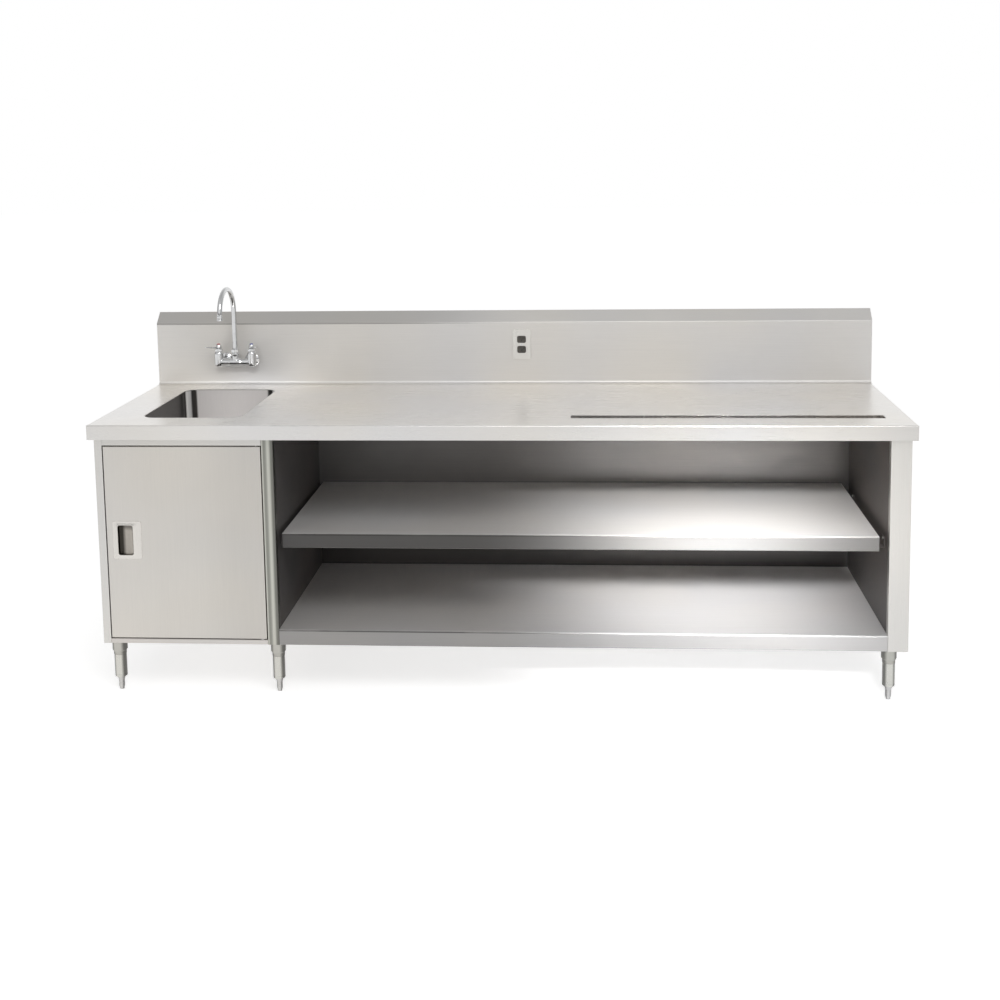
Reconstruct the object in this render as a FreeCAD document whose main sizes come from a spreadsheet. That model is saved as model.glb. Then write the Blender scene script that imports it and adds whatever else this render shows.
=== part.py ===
import FreeCAD, Part
import Sketcher
import math
import os

# Beverage counter in millimetres. The origin is on the floor under the middle of the worktop,
# +X runs to the right end, -Y faces the person at the counter and +Z is up.

dimensions = {
    # The whole counter
    "top_length": 2743,
    "top_depth": 762,
    "top_height": 955,
    "leg_height": 188,
    # Sheet and fits
    "top_sheet": 2,
    "body_sheet": 1.5,
    "door_sheet": 1.2,
    "bend_radius": 1.5,
    "overrun": 5,
    "seat_gap": 0.3,
    "running_clearance": 0.05,
    "hole_clearance": 0.6,
    # Worktop and splash
    "nosing_height": 50,
    "nosing_hem": 14,
    "edge_radius": 4,
    "cove_radius": 12,
    "splash_height": 238,
    "splash_box": 46,
    "splash_drop": 25,
    # Channels under the worktop
    "channel_height": 42,
    "channel_width": 44,
    "channel_flange": 15,
    "channel_front_gap": 28,
    "channel_back_gap": 4,
    # Carcass
    "body_inset": 14,
    "front_overhang": 25,
    "body_depth": 679,
    "stile_width": 27,
    "stile_return": 24,
    "end_wall": 68,
    "cabinet_width": 572,
    "divider_width": 40,
    "back_flange": 18,
    # Shelves
    "cabinet_floor_rise": 17,
    "bottom_shelf_rise": 54,
    "mid_shelf_drop": 385,
    "shelf_edge": 50,
    "shelf_return": 22,
    "shelf_bend": 4,
    "mid_shelf_setback": 27,
    "mid_shelf_left_gap": 15,
    "mid_shelf_right_gap": 27,
    # Shelf brackets and their screws
    "bracket_reach": 55,
    "bracket_rise": 36,
    "bracket_width": 40,
    "bracket_inset": 90,
    "bracket_screw_radius": 2.5,
    "bracket_screw_length": 12,
    "screw_head_radius": 4.5,
    "screw_head_height": 3,
    # Door
    "door_drop": 78.5,
    "door_gap": 3,
    "door_thickness": 20,
    "door_liner_depth": 12,
    "door_edge_radius": 2,
    "rail_lip": 12,
    # Door pivots
    "pivot_side_inset": 16,
    "pivot_front_inset": 9,
    "pin_radius": 4,
    "pin_reach": 18,
    "bush_radius": 6.5,
    "bush_height": 22,
    "pivot_plate": 3,
    "pivot_plate_width": 44,
    "pivot_collar_radius": 8,
    # Recessed pull
    "pull_left_inset": 21,
    "pull_rise": 364,
    "pull_plate_width": 99,
    "pull_plate_height": 133,
    "pull_plate_proud": 2,
    "pull_width": 52,
    "pull_height": 103,
    "pull_offset": 6,
    "pull_depth": 15,
    "pull_wall": 1.5,
    "pull_corner": 7,
    # Catch and bumpers
    "catch_left_inset": 70,
    "catch_width": 46,
    "catch_depth": 18,
    "catch_height": 22,
    "catch_nose": 9,
    "strike_thickness": 1.5,
    "bumper_radius": 4.5,
    "bumper_left_inset": 30,
    # Legs and feet
    "leg_left_inset": 33,
    "leg_right_inset": 50,
    "leg_front_inset": 58,
    "leg_back_inset": 70,
    "leg_radius": 20.65,
    "leg_wall": 1.6,
    "socket_radius": 25.4,
    "socket_height": 59,
    "socket_plate": 3,
    "socket_plate_width": 96,
    "leg_plug": 12,
    "foot_height": 49,
    "foot_radius": 10,
    "foot_shoulder_radius": 13,
    "foot_tip_radius": 7.5,
    "stud_radius": 6,
    "stud_length": 62,
    "set_screw_radius": 3,
    "set_screw_length": 8,
    "set_screw_height": 22,
    # Sink bowl
    "sink_from_left": 321,
    "sink_width": 350,
    "sink_length": 490,
    "sink_setback": 117,
    "sink_depth": 250,
    "sink_corner": 45,
    "sink_floor_radius": 28,
    # Sink drain
    "drain_hole_radius": 44,
    "drain_flange_radius": 56,
    "drain_cup_radius": 42,
    "drain_cup_depth": 52,
    "drain_wall": 2,
    "drain_neck_radius": 22,
    "drain_neck_length": 24,
    "gasket_thickness": 3,
    "drain_nut_height": 10,
    "drain_nut_radius": 60,
    "strainer_rim_radius": 38,
    "strainer_depth": 30,
    "strainer_knob_radius": 7,
    "strainer_knob_height": 18,
    "strainer_hole_radius": 3,
    "strainer_ring_radius": 20,
    "tailpiece_radius": 19,
    "tailpiece_length": 150,
    "tailpiece_nut_radius": 28,
    "tailpiece_nut_height": 16,
    # Drip trough
    "trough_right_inset": 80,
    "trough_length": 1042,
    "trough_width": 50,
    "trough_setback": 109,
    "trough_depth": 40,
    "trough_corner": 9,
    "trough_drain_inset": 30,
    "trough_drain_radius": 10,
    "trough_drain_wall": 3,
    "trough_drain_length": 30,
    # Lift-out drip strainers
    "drip_top_drop": 14,
    "drip_side_gap": 0.6,
    "drip_end_gap": 3,
    "drip_slot_length": 30,
    "drip_slot_width": 6,
    "drip_slot_pitch": 16,
    # Faucet
    "faucet_rise": 95,
    "faucet_reach": 50,
    "inlet_spacing": 101.6,
    "inlet_radius": 10.4,
    "inlet_length": 39,
    "inlet_tail_radius": 10.2,
    "inlet_bore": 7,
    "elbow_radius": 14,
    "bar_radius": 16,
    "valve_spacing": 128,
    "valve_radius": 18,
    "valve_rise": 42,
    "bonnet_radius": 15,
    "bonnet_height": 12,
    "faucet_flange_radius": 28,
    "faucet_flange_height": 7,
    "lock_nut_radius": 18,
    "lock_nut_height": 9,
    "socket_rise": 38,
    "spout_insert": 25,
    "spout_nut_radius": 15,
    "spout_nut_height": 16,
    # Levers
    "lever_length": 66,
    "lever_width": 15,
    "lever_thickness": 7,
    "lever_lift": 10,
    "lever_hub_radius": 12,
    "lever_hub_height": 15,
    "lever_splay": 30,
    "stem_radius": 4,
    "stem_length": 9,
    "lever_cap_radius": 7,
    "lever_cap_height": 3,
    # Gooseneck spout
    "spout_radius": 9.5,
    "spout_wall": 1.2,
    "spout_rise": 298,
    "spout_span": 178,
    "spout_leg": 8,
    "aerator_radius": 11,
    "aerator_height": 19,
    "aerator_bore": 7,
    # Receptacle
    "receptacle_right": 1422,
    "receptacle_rise": 152,
    "plate_width": 70,
    "plate_height": 114,
    "plate_thickness": 4,
    "box_width": 52,
    "box_height": 76,
    "box_depth": 38,
    "box_wall": 1.6,
    "outlet_width": 33,
    "outlet_height": 27,
    "outlet_pitch": 39,
    "outlet_body_depth": 24,
    "outlet_proud": 0.7,
    "slot_width": 2.2,
    "slot_height": 8,
    "slot_spacing": 12.7,
    "ground_radius": 2.4,
    "plate_screw_radius": 1.7,
    "plate_screw_head": 3.4,
}

doc = FreeCAD.newDocument("beverage_counter")
sheet = doc.addObject("Spreadsheet::Sheet", "sizes")
for row, (alias, value) in enumerate(dimensions.items(), start=1):
    sheet.set(f"A{row}", alias)
    sheet.set(f"B{row}", str(value))
    sheet.setAlias(f"B{row}", alias)
doc.recompute()

pieces = []


class Size:
    """A length worked out from the sheet, kept as a number and as an expression."""

    def __init__(self, value, text):
        self.value = value
        self.text = text

    def __add__(self, other):
        return Size(self.value + other.value, f"({self.text} + {other.text})")

    def __sub__(self, other):
        return Size(self.value - other.value, f"({self.text} - {other.text})")

    def __mul__(self, share):
        return Size(self.value * share, f"({self.text} * {share:.10g})")

    def __truediv__(self, share):
        return Size(self.value / share, f"({self.text} / {share:.10g})")

    def __neg__(self):
        return Size(-self.value, f"(-{self.text})")


def size(alias):
    """The sheet's value of this name."""
    return Size(float(sheet.get(alias)), f"sizes.{alias}")


zero = Size(0.0, "0")


def new_piece(label):
    """An empty body that becomes one node."""
    body = doc.addObject("PartDesign::Body", label)
    body.Label = label
    pieces.append(body)
    return body


def place(body, x, y, z=zero):
    """Move a body by sheet values."""
    for axis, length in zip("xyz", (x, y, z)):
        body.setExpression(f"Placement.Base.{axis}", length.text)


def origin_feature(body, role):
    """An origin plane or axis of the body."""
    return next(part for part in body.Origin.OriginFeatures if part.Role == role)


def moved(length, step, share):
    """A length with a share of a step added, written short for shares of nought and one."""
    if abs(share) < 1e-9:
        return length
    if abs(share - 1) < 1e-9:
        return length + step
    if abs(share + 1) < 1e-9:
        return length - step
    return length + step * share


def direction(start, end):
    """The unit vector from one corner to the next, as plain numbers."""
    across = end[0].value - start[0].value
    along = end[1].value - start[1].value
    reach = math.hypot(across, along)
    return across / reach, along / reach


def folded(path, thickness, bend):
    """The outline of a folded sheet whose outer face follows the path, metal on its left.

    A path corner may carry its own inner bend radius. Returns the corners of the
    path's side and of the other side, each with its radius.
    """
    steps = [direction(path[i], path[i + 1]) for i in range(len(path) - 1)]
    normals = [(-step[1], step[0]) for step in steps]
    near, far = [], []
    for index, corner in enumerate(path):
        before = normals[max(index - 1, 0)]
        after = normals[min(index, len(normals) - 1)]
        spread = 1 + before[0] * after[0] + before[1] * after[1]
        shift = ((before[0] + after[0]) / spread, (before[1] + after[1]) / spread)
        offset = (moved(corner[0], thickness, shift[0]), moved(corner[1], thickness, shift[1]))
        if index in (0, len(path) - 1):
            near.append((corner[0], corner[1], None))
            far.append((offset[0], offset[1], None))
            continue
        inner = corner[2] if len(corner) > 2 else bend
        step_in, step_out = steps[index - 1], steps[index]
        turns_left = step_in[0] * step_out[1] - step_in[1] * step_out[0] > 0
        near.append((corner[0], corner[1], inner + thickness if turns_left else inner))
        far.append((offset[0], offset[1], inner if turns_left else inner + thickness))
    return near, far


def folded_loop(path, thickness, bend):
    """The closed outline of a folded sheet."""
    near, far = folded(path, thickness, bend)
    return near + far[::-1]


def rectangle(low_a, high_a, low_b, high_b, corner=None):
    """A rectangle, square or with rounded corners."""
    spots = [(low_a, low_b), (high_a, low_b), (high_a, high_b), (low_a, high_b)]
    return [(a, b, corner) for a, b in spots]


def circle(across, along, radius):
    """A full circle in a sketch."""
    return (across, along, radius)


def hexagon(across, along, radius):
    """Six corners, the first on the sketch's own X."""
    corners = []
    for turn in range(6):
        angle = math.radians(60 * turn)
        spot = (moved(across, radius, math.cos(angle)), moved(along, radius, math.sin(angle)))
        corners.append((spot[0], spot[1], None))
    return corners


class Drawing:
    """Lines, arcs and circles in one sketch, every one tied to the sheet."""

    def __init__(self, sketch):
        self.sketch = sketch
        self.constraints = []
        self.bindings = []

    def bind(self, kind, length, *places):
        self.bindings.append((len(self.constraints), length.text))
        self.constraints.append(Sketcher.Constraint(kind, *places, length.value))

    def fix_point(self, element, end, spot):
        self.bind("DistanceX", spot[0], element, end)
        self.bind("DistanceY", spot[1], element, end)

    def add_circle(self, across, along, radius):
        centre = FreeCAD.Vector(across.value, along.value, 0)
        ring = Part.Circle(centre, FreeCAD.Vector(0, 0, 1), radius.value)
        element = self.sketch.addGeometry(ring)
        self.fix_point(element, 3, (across, along))
        self.bind("Radius", radius, element)

    def add_line(self, start, end, end_is_free=False):
        first = FreeCAD.Vector(start[0].value, start[1].value, 0)
        last = FreeCAD.Vector(end[0].value, end[1].value, 0)
        element = self.sketch.addGeometry(Part.LineSegment(first, last))
        self.fix_point(element, 1, start)
        if not end_is_free:
            self.fix_point(element, 2, end)
        return element

    def add_corner(self, before, after, spot_in, spot_out, step_in, turns_left, radius,
                   centre_along=None):
        """An arc from the end of one line to the start of the next.

        A half circle is held by its centre, since its radius says nothing new.
        """
        side = 1 if turns_left else -1
        centre = FreeCAD.Vector(spot_in[0].value - side * step_in[1] * radius.value,
                                spot_in[1].value + side * step_in[0] * radius.value, 0)
        ends = [spot_in, spot_out] if turns_left else [spot_out, spot_in]
        lines = [(before, 2), (after, 1)] if turns_left else [(after, 1), (before, 2)]
        angles = [math.atan2(spot[1].value - centre.y, spot[0].value - centre.x) for spot in ends]
        ring = Part.Circle(centre, FreeCAD.Vector(0, 0, 1), radius.value)
        element = self.sketch.addGeometry(Part.ArcOfCircle(ring, angles[0], angles[1]))
        for end, (line, line_end) in zip((1, 2), lines):
            self.constraints.append(Sketcher.Constraint("Coincident", element, end, line, line_end))
        if centre_along is None:
            self.bind("Radius", radius, element)
        else:
            self.bind("DistanceY", centre_along, element, 3)

    def add_loop(self, corners):
        """A closed outline with straight sides and rounded corners."""
        count = len(corners)
        steps = [direction(corners[i], corners[(i + 1) % count]) for i in range(count)]
        entries, exits, turns = [], [], []
        sharp = [corner[2] is None for corner in corners]
        for index, (across, along, radius) in enumerate(corners):
            step_in, step_out = steps[index - 1], steps[index]
            cross = step_in[0] * step_out[1] - step_in[1] * step_out[0]
            turns.append(cross > 0)
            if sharp[index]:
                entries.append((across, along))
                exits.append((across, along))
                continue
            turn = math.atan2(abs(cross), step_in[0] * step_out[0] + step_in[1] * step_out[1])
            share = math.tan(turn / 2)
            entries.append((moved(across, radius, -step_in[0] * share),
                            moved(along, radius, -step_in[1] * share)))
            exits.append((moved(across, radius, step_out[0] * share),
                          moved(along, radius, step_out[1] * share)))
        lines = [self.add_line(exits[i], entries[(i + 1) % count], sharp[(i + 1) % count])
                 for i in range(count)]
        for index, (_, _, radius) in enumerate(corners):
            before, after = lines[index - 1], lines[index]
            if sharp[index]:
                self.constraints.append(Sketcher.Constraint("Coincident", before, 2, after, 1))
                continue
            self.add_corner(before, after, entries[index], exits[index],
                            steps[index - 1], turns[index], radius)

    def finish(self):
        self.sketch.addConstraint(self.constraints)
        for index, text in self.bindings:
            self.sketch.setExpression(f"Constraints[{index}]", text)


def sketch_on(body, axis, offset, loops):
    """A sketch square to an axis at an offset. Its own axes are Y, Z or X, Z or X, Y."""
    plane = {"X": "YZ_Plane", "Y": "XZ_Plane", "Z": "XY_Plane"}[axis]
    sketch = body.newObject("Sketcher::SketchObject", f"{body.Label}_sketch")
    sketch.AttachmentSupport = [(origin_feature(body, plane), "")]
    sketch.MapMode = "FlatFace"
    # The XZ plane looks along -Y
    height = -offset if axis == "Y" else offset
    sketch.setExpression("AttachmentOffset.Base.z", height.text)
    drawing = Drawing(sketch)
    for loop in loops:
        if isinstance(loop, tuple):
            drawing.add_circle(*loop)
        else:
            drawing.add_loop(loop)
    drawing.finish()
    return sketch


def pad(body, axis, low, high, *loops):
    """Metal between two places along an axis."""
    start = high if axis == "Y" else low
    feature = body.newObject("PartDesign::Pad", f"{body.Label}_pad")
    feature.Profile = sketch_on(body, axis, start, loops)
    feature.setExpression("Length", (high - low).text)
    return feature


def cut(body, axis, low, high, *loops):
    """A pocket between two places along an axis."""
    start = low if axis == "Y" else high
    feature = body.newObject("PartDesign::Pocket", f"{body.Label}_pocket")
    feature.Profile = sketch_on(body, axis, start, loops)
    feature.setExpression("Length", (high - low).text)
    return feature


def revolve(body, corners):
    """A turned piece about the body's own Z axis, its outline given as radius and height."""
    sketch = sketch_on(body, "Y", zero, [corners])
    feature = body.newObject("PartDesign::Revolution", f"{body.Label}_turning")
    feature.Profile = sketch
    feature.ReferenceAxis = (sketch, ["V_Axis"])
    feature.Angle = 360
    return feature


def points(*spots):
    """Sharp corners for an outline."""
    return [(spot[0], spot[1], None) for spot in spots]


def round_edges(body, radius, *lines):
    """Round the edges whose corners all lie on the given X, Y and Z, None being any."""
    doc.recompute()
    base = body.Tip
    names = []
    for number, edge in enumerate(base.Shape.Edges, start=1):
        for line in lines:
            spots = [(vertex.X, vertex.Y, vertex.Z) for vertex in edge.Vertexes]
            misses = [abs(spot[i] - line[i].value) for spot in spots for i in range(3)
                      if line[i] is not None]
            if spots and max(misses) < 1e-4:
                names.append(f"Edge{number}")
    feature = body.newObject("PartDesign::Fillet", f"{body.Label}_rounding")
    feature.Base = (base, sorted(set(names)))
    feature.setExpression("Radius", radius.text)
    return feature


def hollow(body, thickness, open_height):
    """Leave a skin of this thickness inside the present faces, open at one height."""
    doc.recompute()
    base = body.Tip
    names = [f"Face{number}" for number, face in enumerate(base.Shape.Faces, start=1)
             if abs(face.CenterOfMass.z - open_height.value) < 1e-4]
    feature = body.newObject("PartDesign::Thickness", f"{body.Label}_skin")
    feature.Base = (base, names)
    feature.Mode = "Skin"
    feature.Join = "Arc"
    feature.Reversed = True
    feature.setExpression("Value", thickness.text)
    return feature


# Places that several pieces share
top_sheet = size("top_sheet")
body_sheet = size("body_sheet")
door_sheet = size("door_sheet")
bend = size("bend_radius")
overrun = size("overrun")
seat_gap = size("seat_gap")
running = size("running_clearance")
hole_gap = size("hole_clearance")

left = -(size("top_length") / 2)
right = size("top_length") / 2
front = -(size("top_depth") / 2)
back = size("top_depth") / 2
top = size("top_height")
under_top = top - top_sheet
nosing_bottom = top - size("nosing_height")
splash_face = back - size("splash_box")
splash_back = splash_face + top_sheet
splash_fold = top + size("splash_height")
splash_top = splash_fold + size("splash_box")

body_left = left + size("body_inset")
body_right = right - size("body_inset")
body_front = front + size("front_overhang")
body_back = body_front + size("body_depth")
body_bottom = size("leg_height")
frame_top = under_top - size("channel_height")
return_back = body_front + size("stile_return")
wall_back = body_back - body_sheet
back_face = wall_back - body_sheet
divider_left = body_left + size("cabinet_width")
divider_right = divider_left + size("divider_width")
end_liner = body_right - size("end_wall")
stile_edge = body_left + size("stile_width")
cabinet_floor = body_bottom + size("cabinet_floor_rise")
bottom_shelf = body_bottom + size("bottom_shelf_rise")
mid_shelf = top - size("mid_shelf_drop")
mid_shelf_bottom = mid_shelf - size("shelf_edge")

sink_x = left + size("sink_from_left")
sink_left = sink_x - size("sink_width") / 2
sink_right = sink_x + size("sink_width") / 2
sink_front = front + size("sink_setback")
sink_back = sink_front + size("sink_length")
sink_y = (sink_front + sink_back) / 2
sink_floor = top - size("sink_depth")

trough_right = right - size("trough_right_inset")
trough_left = trough_right - size("trough_length")
trough_front = front + size("trough_setback")
trough_back = trough_front + size("trough_width")
trough_floor = top - size("trough_depth")
trough_drain_x = trough_right - size("trough_drain_inset")
trough_y = (trough_front + trough_back) / 2

faucet_z = top + size("faucet_rise")
faucet_y = splash_face - size("faucet_reach")
inlets = [sink_x - size("inlet_spacing") / 2, sink_x + size("inlet_spacing") / 2]
valves = [sink_x - size("valve_spacing") / 2, sink_x + size("valve_spacing") / 2]

plug_x = left + size("receptacle_right")
plug_z = top + size("receptacle_rise")


# Worktop
def make_worktop():
    """One folded sheet: nosing, top, coved splash and its sloping return, with turned-down ends."""
    body = new_piece("worktop")
    pad(body, "Z", nosing_bottom, top, rectangle(left, right, front, splash_back))
    round_edges(body, size("edge_radius"), (None, front, top), (left, None, top),
                (right, None, top), (left, front, None), (right, front, None))
    inside_radius = size("edge_radius") - top_sheet
    cut(body, "Z", nosing_bottom - overrun, under_top,
        [(left + top_sheet, front + top_sheet, inside_radius),
         (right - top_sheet, front + top_sheet, inside_radius),
         (right - top_sheet, splash_face + overrun, None),
         (left + top_sheet, splash_face + overrun, None)])
    pad(body, "X", left, right, folded_loop(splash_line(), top_sheet, bend))
    cove = size("cove_radius")
    weld_share = 0.4
    weld = points((splash_back, top), (splash_back, top + cove),
                  (splash_face - cove * weld_share, top))
    pad(body, "X", left, left + top_sheet, weld)
    pad(body, "X", right - top_sheet, right, weld)
    pad(body, "X", left + top_sheet, right - top_sheet,
        rectangle(front + top_sheet, front + size("nosing_hem"),
                  nosing_bottom, nosing_bottom + top_sheet))
    cut(body, "Z", under_top - overrun, top + overrun,
        rectangle(sink_left, sink_right, sink_front, sink_back, size("sink_corner")),
        rectangle(trough_left, trough_right, trough_front, trough_back, size("trough_corner")))
    inlet_hole = size("inlet_radius") + hole_gap
    box_inside = size("box_wall") + seat_gap
    half_width = size("box_width") / 2 - box_inside
    half_height = size("box_height") / 2 - box_inside
    cut(body, "Y", splash_face - overrun, splash_back + overrun,
        circle(inlets[0], faucet_z, inlet_hole), circle(inlets[1], faucet_z, inlet_hole),
        rectangle(plug_x - half_width, plug_x + half_width,
                  plug_z - half_height, plug_z + half_height))


def splash_line():
    """The outer face of the splash in Y and Z, from its back drop down to the worktop."""
    return [(back, splash_top - size("splash_drop")),
            (back, splash_top),
            (splash_face, splash_fold),
            (splash_face, top, size("cove_radius")),
            (splash_face - size("cove_radius") * 2, top)]


def make_splash_ends():
    """Plates that close the hollow behind the splash at both ends."""
    _, inside = folded(splash_line(), top_sheet, bend)
    drop_end = splash_top - size("splash_drop")
    outline = [(splash_back, nosing_bottom, None),
               (back, nosing_bottom, None),
               (back, drop_end, None),
               (back - top_sheet, drop_end, None),
               inside[1],
               inside[2]]
    for label, low in (("splash_end_left", left), ("splash_end_right", right - top_sheet)):
        pad(new_piece(label), "X", low, low + top_sheet, outline)


def make_channels():
    """Hat channels that stiffen the worktop and carry it on the walls."""
    half = size("channel_width") / 2
    flange = size("channel_flange")
    channel_front = body_front + size("channel_front_gap")
    channel_back = back_face - size("channel_back_gap")
    middle = (sink_back + trough_back) / 2
    web = frame_top + body_sheet

    def hat(centre):
        return folded_loop([(centre + half + flange, under_top), (centre + half, under_top),
                            (centre + half, web), (centre - half, web),
                            (centre - half, under_top), (centre - half - flange, under_top)],
                           body_sheet, bend)

    body = new_piece("worktop_channels")
    pad(body, "X", body_left + overrun, body_right - overrun, hat(channel_front + flange))
    pad(body, "X", body_left + overrun, body_right - overrun, hat(channel_back - half - flange))
    pad(body, "X", divider_left, body_right - overrun, hat(middle))


# Carcass walls
def make_walls():
    """Folded side panels, the double divider and the double right end wall."""
    flange = size("back_flange")
    wall = new_piece("left_side_panel")
    pad(wall, "Z", body_bottom, frame_top, folded_loop(
        [(body_left + flange, body_back), (body_left, body_back), (body_left, body_front),
         (stile_edge, body_front), (stile_edge, return_back)], body_sheet, bend))

    wall = new_piece("right_side_panel")
    pad(wall, "Z", body_bottom, frame_top, folded_loop(
        [(end_liner, return_back), (end_liner, body_front), (body_right, body_front),
         (body_right, body_back), (body_right - flange, body_back)], body_sheet, bend))

    wall = new_piece("divider_panel")
    pad(wall, "Z", body_bottom, frame_top, folded_loop(
        [(divider_left + flange, back_face), (divider_left, back_face),
         (divider_left, body_front), (divider_right, body_front),
         (divider_right, return_back)], body_sheet, bend))

    screw_holes = size("bracket_screw_radius") + hole_gap
    holes = [circle(y, bracket_screw_z(), screw_holes) for y in bracket_places()]
    wall = new_piece("divider_liner")
    pad(wall, "Z", body_bottom, frame_top, folded_loop(
        [(divider_right, return_back), (divider_right, back_face),
         (divider_right - flange, back_face)], body_sheet, bend))
    cut(wall, "X", divider_right - body_sheet - overrun, divider_right + overrun, *holes)

    wall = new_piece("right_side_liner")
    pad(wall, "Z", body_bottom, frame_top, folded_loop(
        [(end_liner + flange, back_face), (end_liner, back_face),
         (end_liner, return_back)], body_sheet, bend))
    cut(wall, "X", end_liner - overrun, end_liner + body_sheet + overrun, *holes)

    wall = new_piece("back_panel")
    clear_of_bend = body_sheet + bend
    pad(wall, "Y", back_face, wall_back,
        rectangle(body_left + clear_of_bend, body_right - clear_of_bend, body_bottom, frame_top))


# Shelves
def edged_sheet(front_y, back_y, surface, edge, front_bend):
    """A shelf's section: a flat sheet with turned-down and turned-in front and back edges."""
    hem = size("shelf_return")
    low = surface - edge
    return folded_loop([(back_y - hem, low), (back_y, low), (back_y, surface),
                        (front_y, surface, front_bend), (front_y, low),
                        (front_y + hem, low)], body_sheet, bend)


def make_shelves():
    """Cabinet floor, bottom shelf and the shelf at mid height."""
    floor = new_piece("cabinet_floor")
    pad(floor, "X", body_left + body_sheet, divider_left,
        edged_sheet(body_front, back_face, cabinet_floor, size("cabinet_floor_rise"), bend))
    cut(floor, "Z", body_bottom - overrun, cabinet_floor + overrun,
        rectangle(body_left, stile_edge, body_front - overrun, return_back))
    pivot = (pivot_x, pivot_y)
    cut(floor, "Z", cabinet_floor - body_sheet - seat_gap, cabinet_floor + overrun,
        circle(pivot[0], pivot[1], size("pin_radius") + hole_gap))

    shelf = new_piece("bottom_shelf")
    pad(shelf, "X", divider_right, end_liner,
        edged_sheet(body_front, back_face, bottom_shelf, size("bottom_shelf_rise"),
                    size("shelf_bend")))

    shelf = new_piece("mid_shelf")
    shelf_left = divider_right + size("mid_shelf_left_gap")
    shelf_right = end_liner - size("mid_shelf_right_gap")
    shelf_front = body_front + size("mid_shelf_setback")
    pad(shelf, "X", shelf_left, shelf_right,
        edged_sheet(shelf_front, back_face, mid_shelf, size("shelf_edge"), size("shelf_bend")))
    outer_bend = size("shelf_bend") + body_sheet
    for low in (shelf_left, shelf_right - body_sheet):
        pad(shelf, "X", low, low + body_sheet,
            rectangle(shelf_front + outer_bend, back_face - outer_bend,
                      mid_shelf_bottom, mid_shelf - body_sheet / 2))


def bracket_places():
    """The brackets' middles along Y."""
    return [body_front + size("bracket_inset"), back_face - size("bracket_inset")]


def bracket_screw_z():
    """The height of the screws that hold the brackets to the walls."""
    return mid_shelf_bottom + size("bracket_rise") - size("screw_head_radius") * 2


def make_brackets():
    """Angle brackets on the walls, with the mid shelf's edges resting on them."""
    seat = mid_shelf_bottom - body_sheet
    rise = mid_shelf_bottom + size("bracket_rise")
    reach = size("bracket_reach")
    left_angle = folded_loop([(divider_right, rise), (divider_right, seat),
                              (divider_right + reach, seat)], body_sheet, bend)
    right_angle = folded_loop([(end_liner - reach, seat), (end_liner, seat),
                               (end_liner, rise)], body_sheet, bend)
    brackets = new_piece("shelf_brackets")
    half = size("bracket_width") / 2
    for y in bracket_places():
        pad(brackets, "Y", y - half, y + half, left_angle, right_angle)
    hole = size("bracket_screw_radius") + hole_gap
    holes = [circle(y, bracket_screw_z(), hole) for y in bracket_places()]
    cut(brackets, "X", divider_right - overrun, divider_right + body_sheet + overrun, *holes)
    cut(brackets, "X", end_liner - body_sheet - overrun, end_liner + overrun, *holes)

    screws = new_piece("bracket_screws")
    shank = [circle(y, bracket_screw_z(), size("bracket_screw_radius")) for y in bracket_places()]
    heads = [circle(y, bracket_screw_z(), size("screw_head_radius")) for y in bracket_places()]
    length = size("bracket_screw_length")
    head = size("screw_head_height")
    seat_left = divider_right + body_sheet
    seat_right = end_liner - body_sheet
    pad(screws, "X", seat_left, seat_left + head, *heads)
    pad(screws, "X", seat_left - length, seat_left, *shank)
    pad(screws, "X", seat_right - head, seat_right, *heads)
    pad(screws, "X", seat_right, seat_right + length, *shank)


# Door frame rail
door_left = stile_edge + size("door_gap")
door_right = divider_left - size("door_gap")
door_bottom = cabinet_floor + size("door_gap")
door_top = top - size("door_drop")
door_back = body_front + size("door_thickness")
rail_bottom = door_top + size("door_gap")
pivot_x = door_right - size("pivot_side_inset")
pivot_y = body_front + size("pivot_front_inset")
lip_bottom = rail_bottom - size("rail_lip")


def make_rail():
    """The rail over the door, with a lip behind the door that carries the bumpers."""
    rail = new_piece("door_top_rail")
    pad(rail, "X", stile_edge, divider_left, folded_loop(
        [(return_back, frame_top), (body_front, frame_top), (body_front, rail_bottom),
         (return_back, rail_bottom), (return_back, lip_bottom)], body_sheet, bend))
    cut(rail, "Z", rail_bottom - overrun, rail_bottom + body_sheet + seat_gap,
        circle(pivot_x, pivot_y, size("pin_radius") + hole_gap))
    # The lip stops short of the pivot, where the door's back corner swings inwards
    cut(rail, "Y", return_back - body_sheet, return_back + body_sheet + overrun,
        rectangle(pivot_x - size("pivot_plate_width") / 2, divider_left + overrun,
                  lip_bottom - overrun, rail_bottom))

    bumpers = new_piece("door_bumpers")
    height = lip_bottom + size("rail_lip") / 2
    spots = [door_left + size("bumper_left_inset"), pivot_x - size("pivot_plate_width")]
    pad(bumpers, "Y", door_back + seat_gap, return_back,
        *[circle(x, height, size("bumper_radius")) for x in spots])


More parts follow.
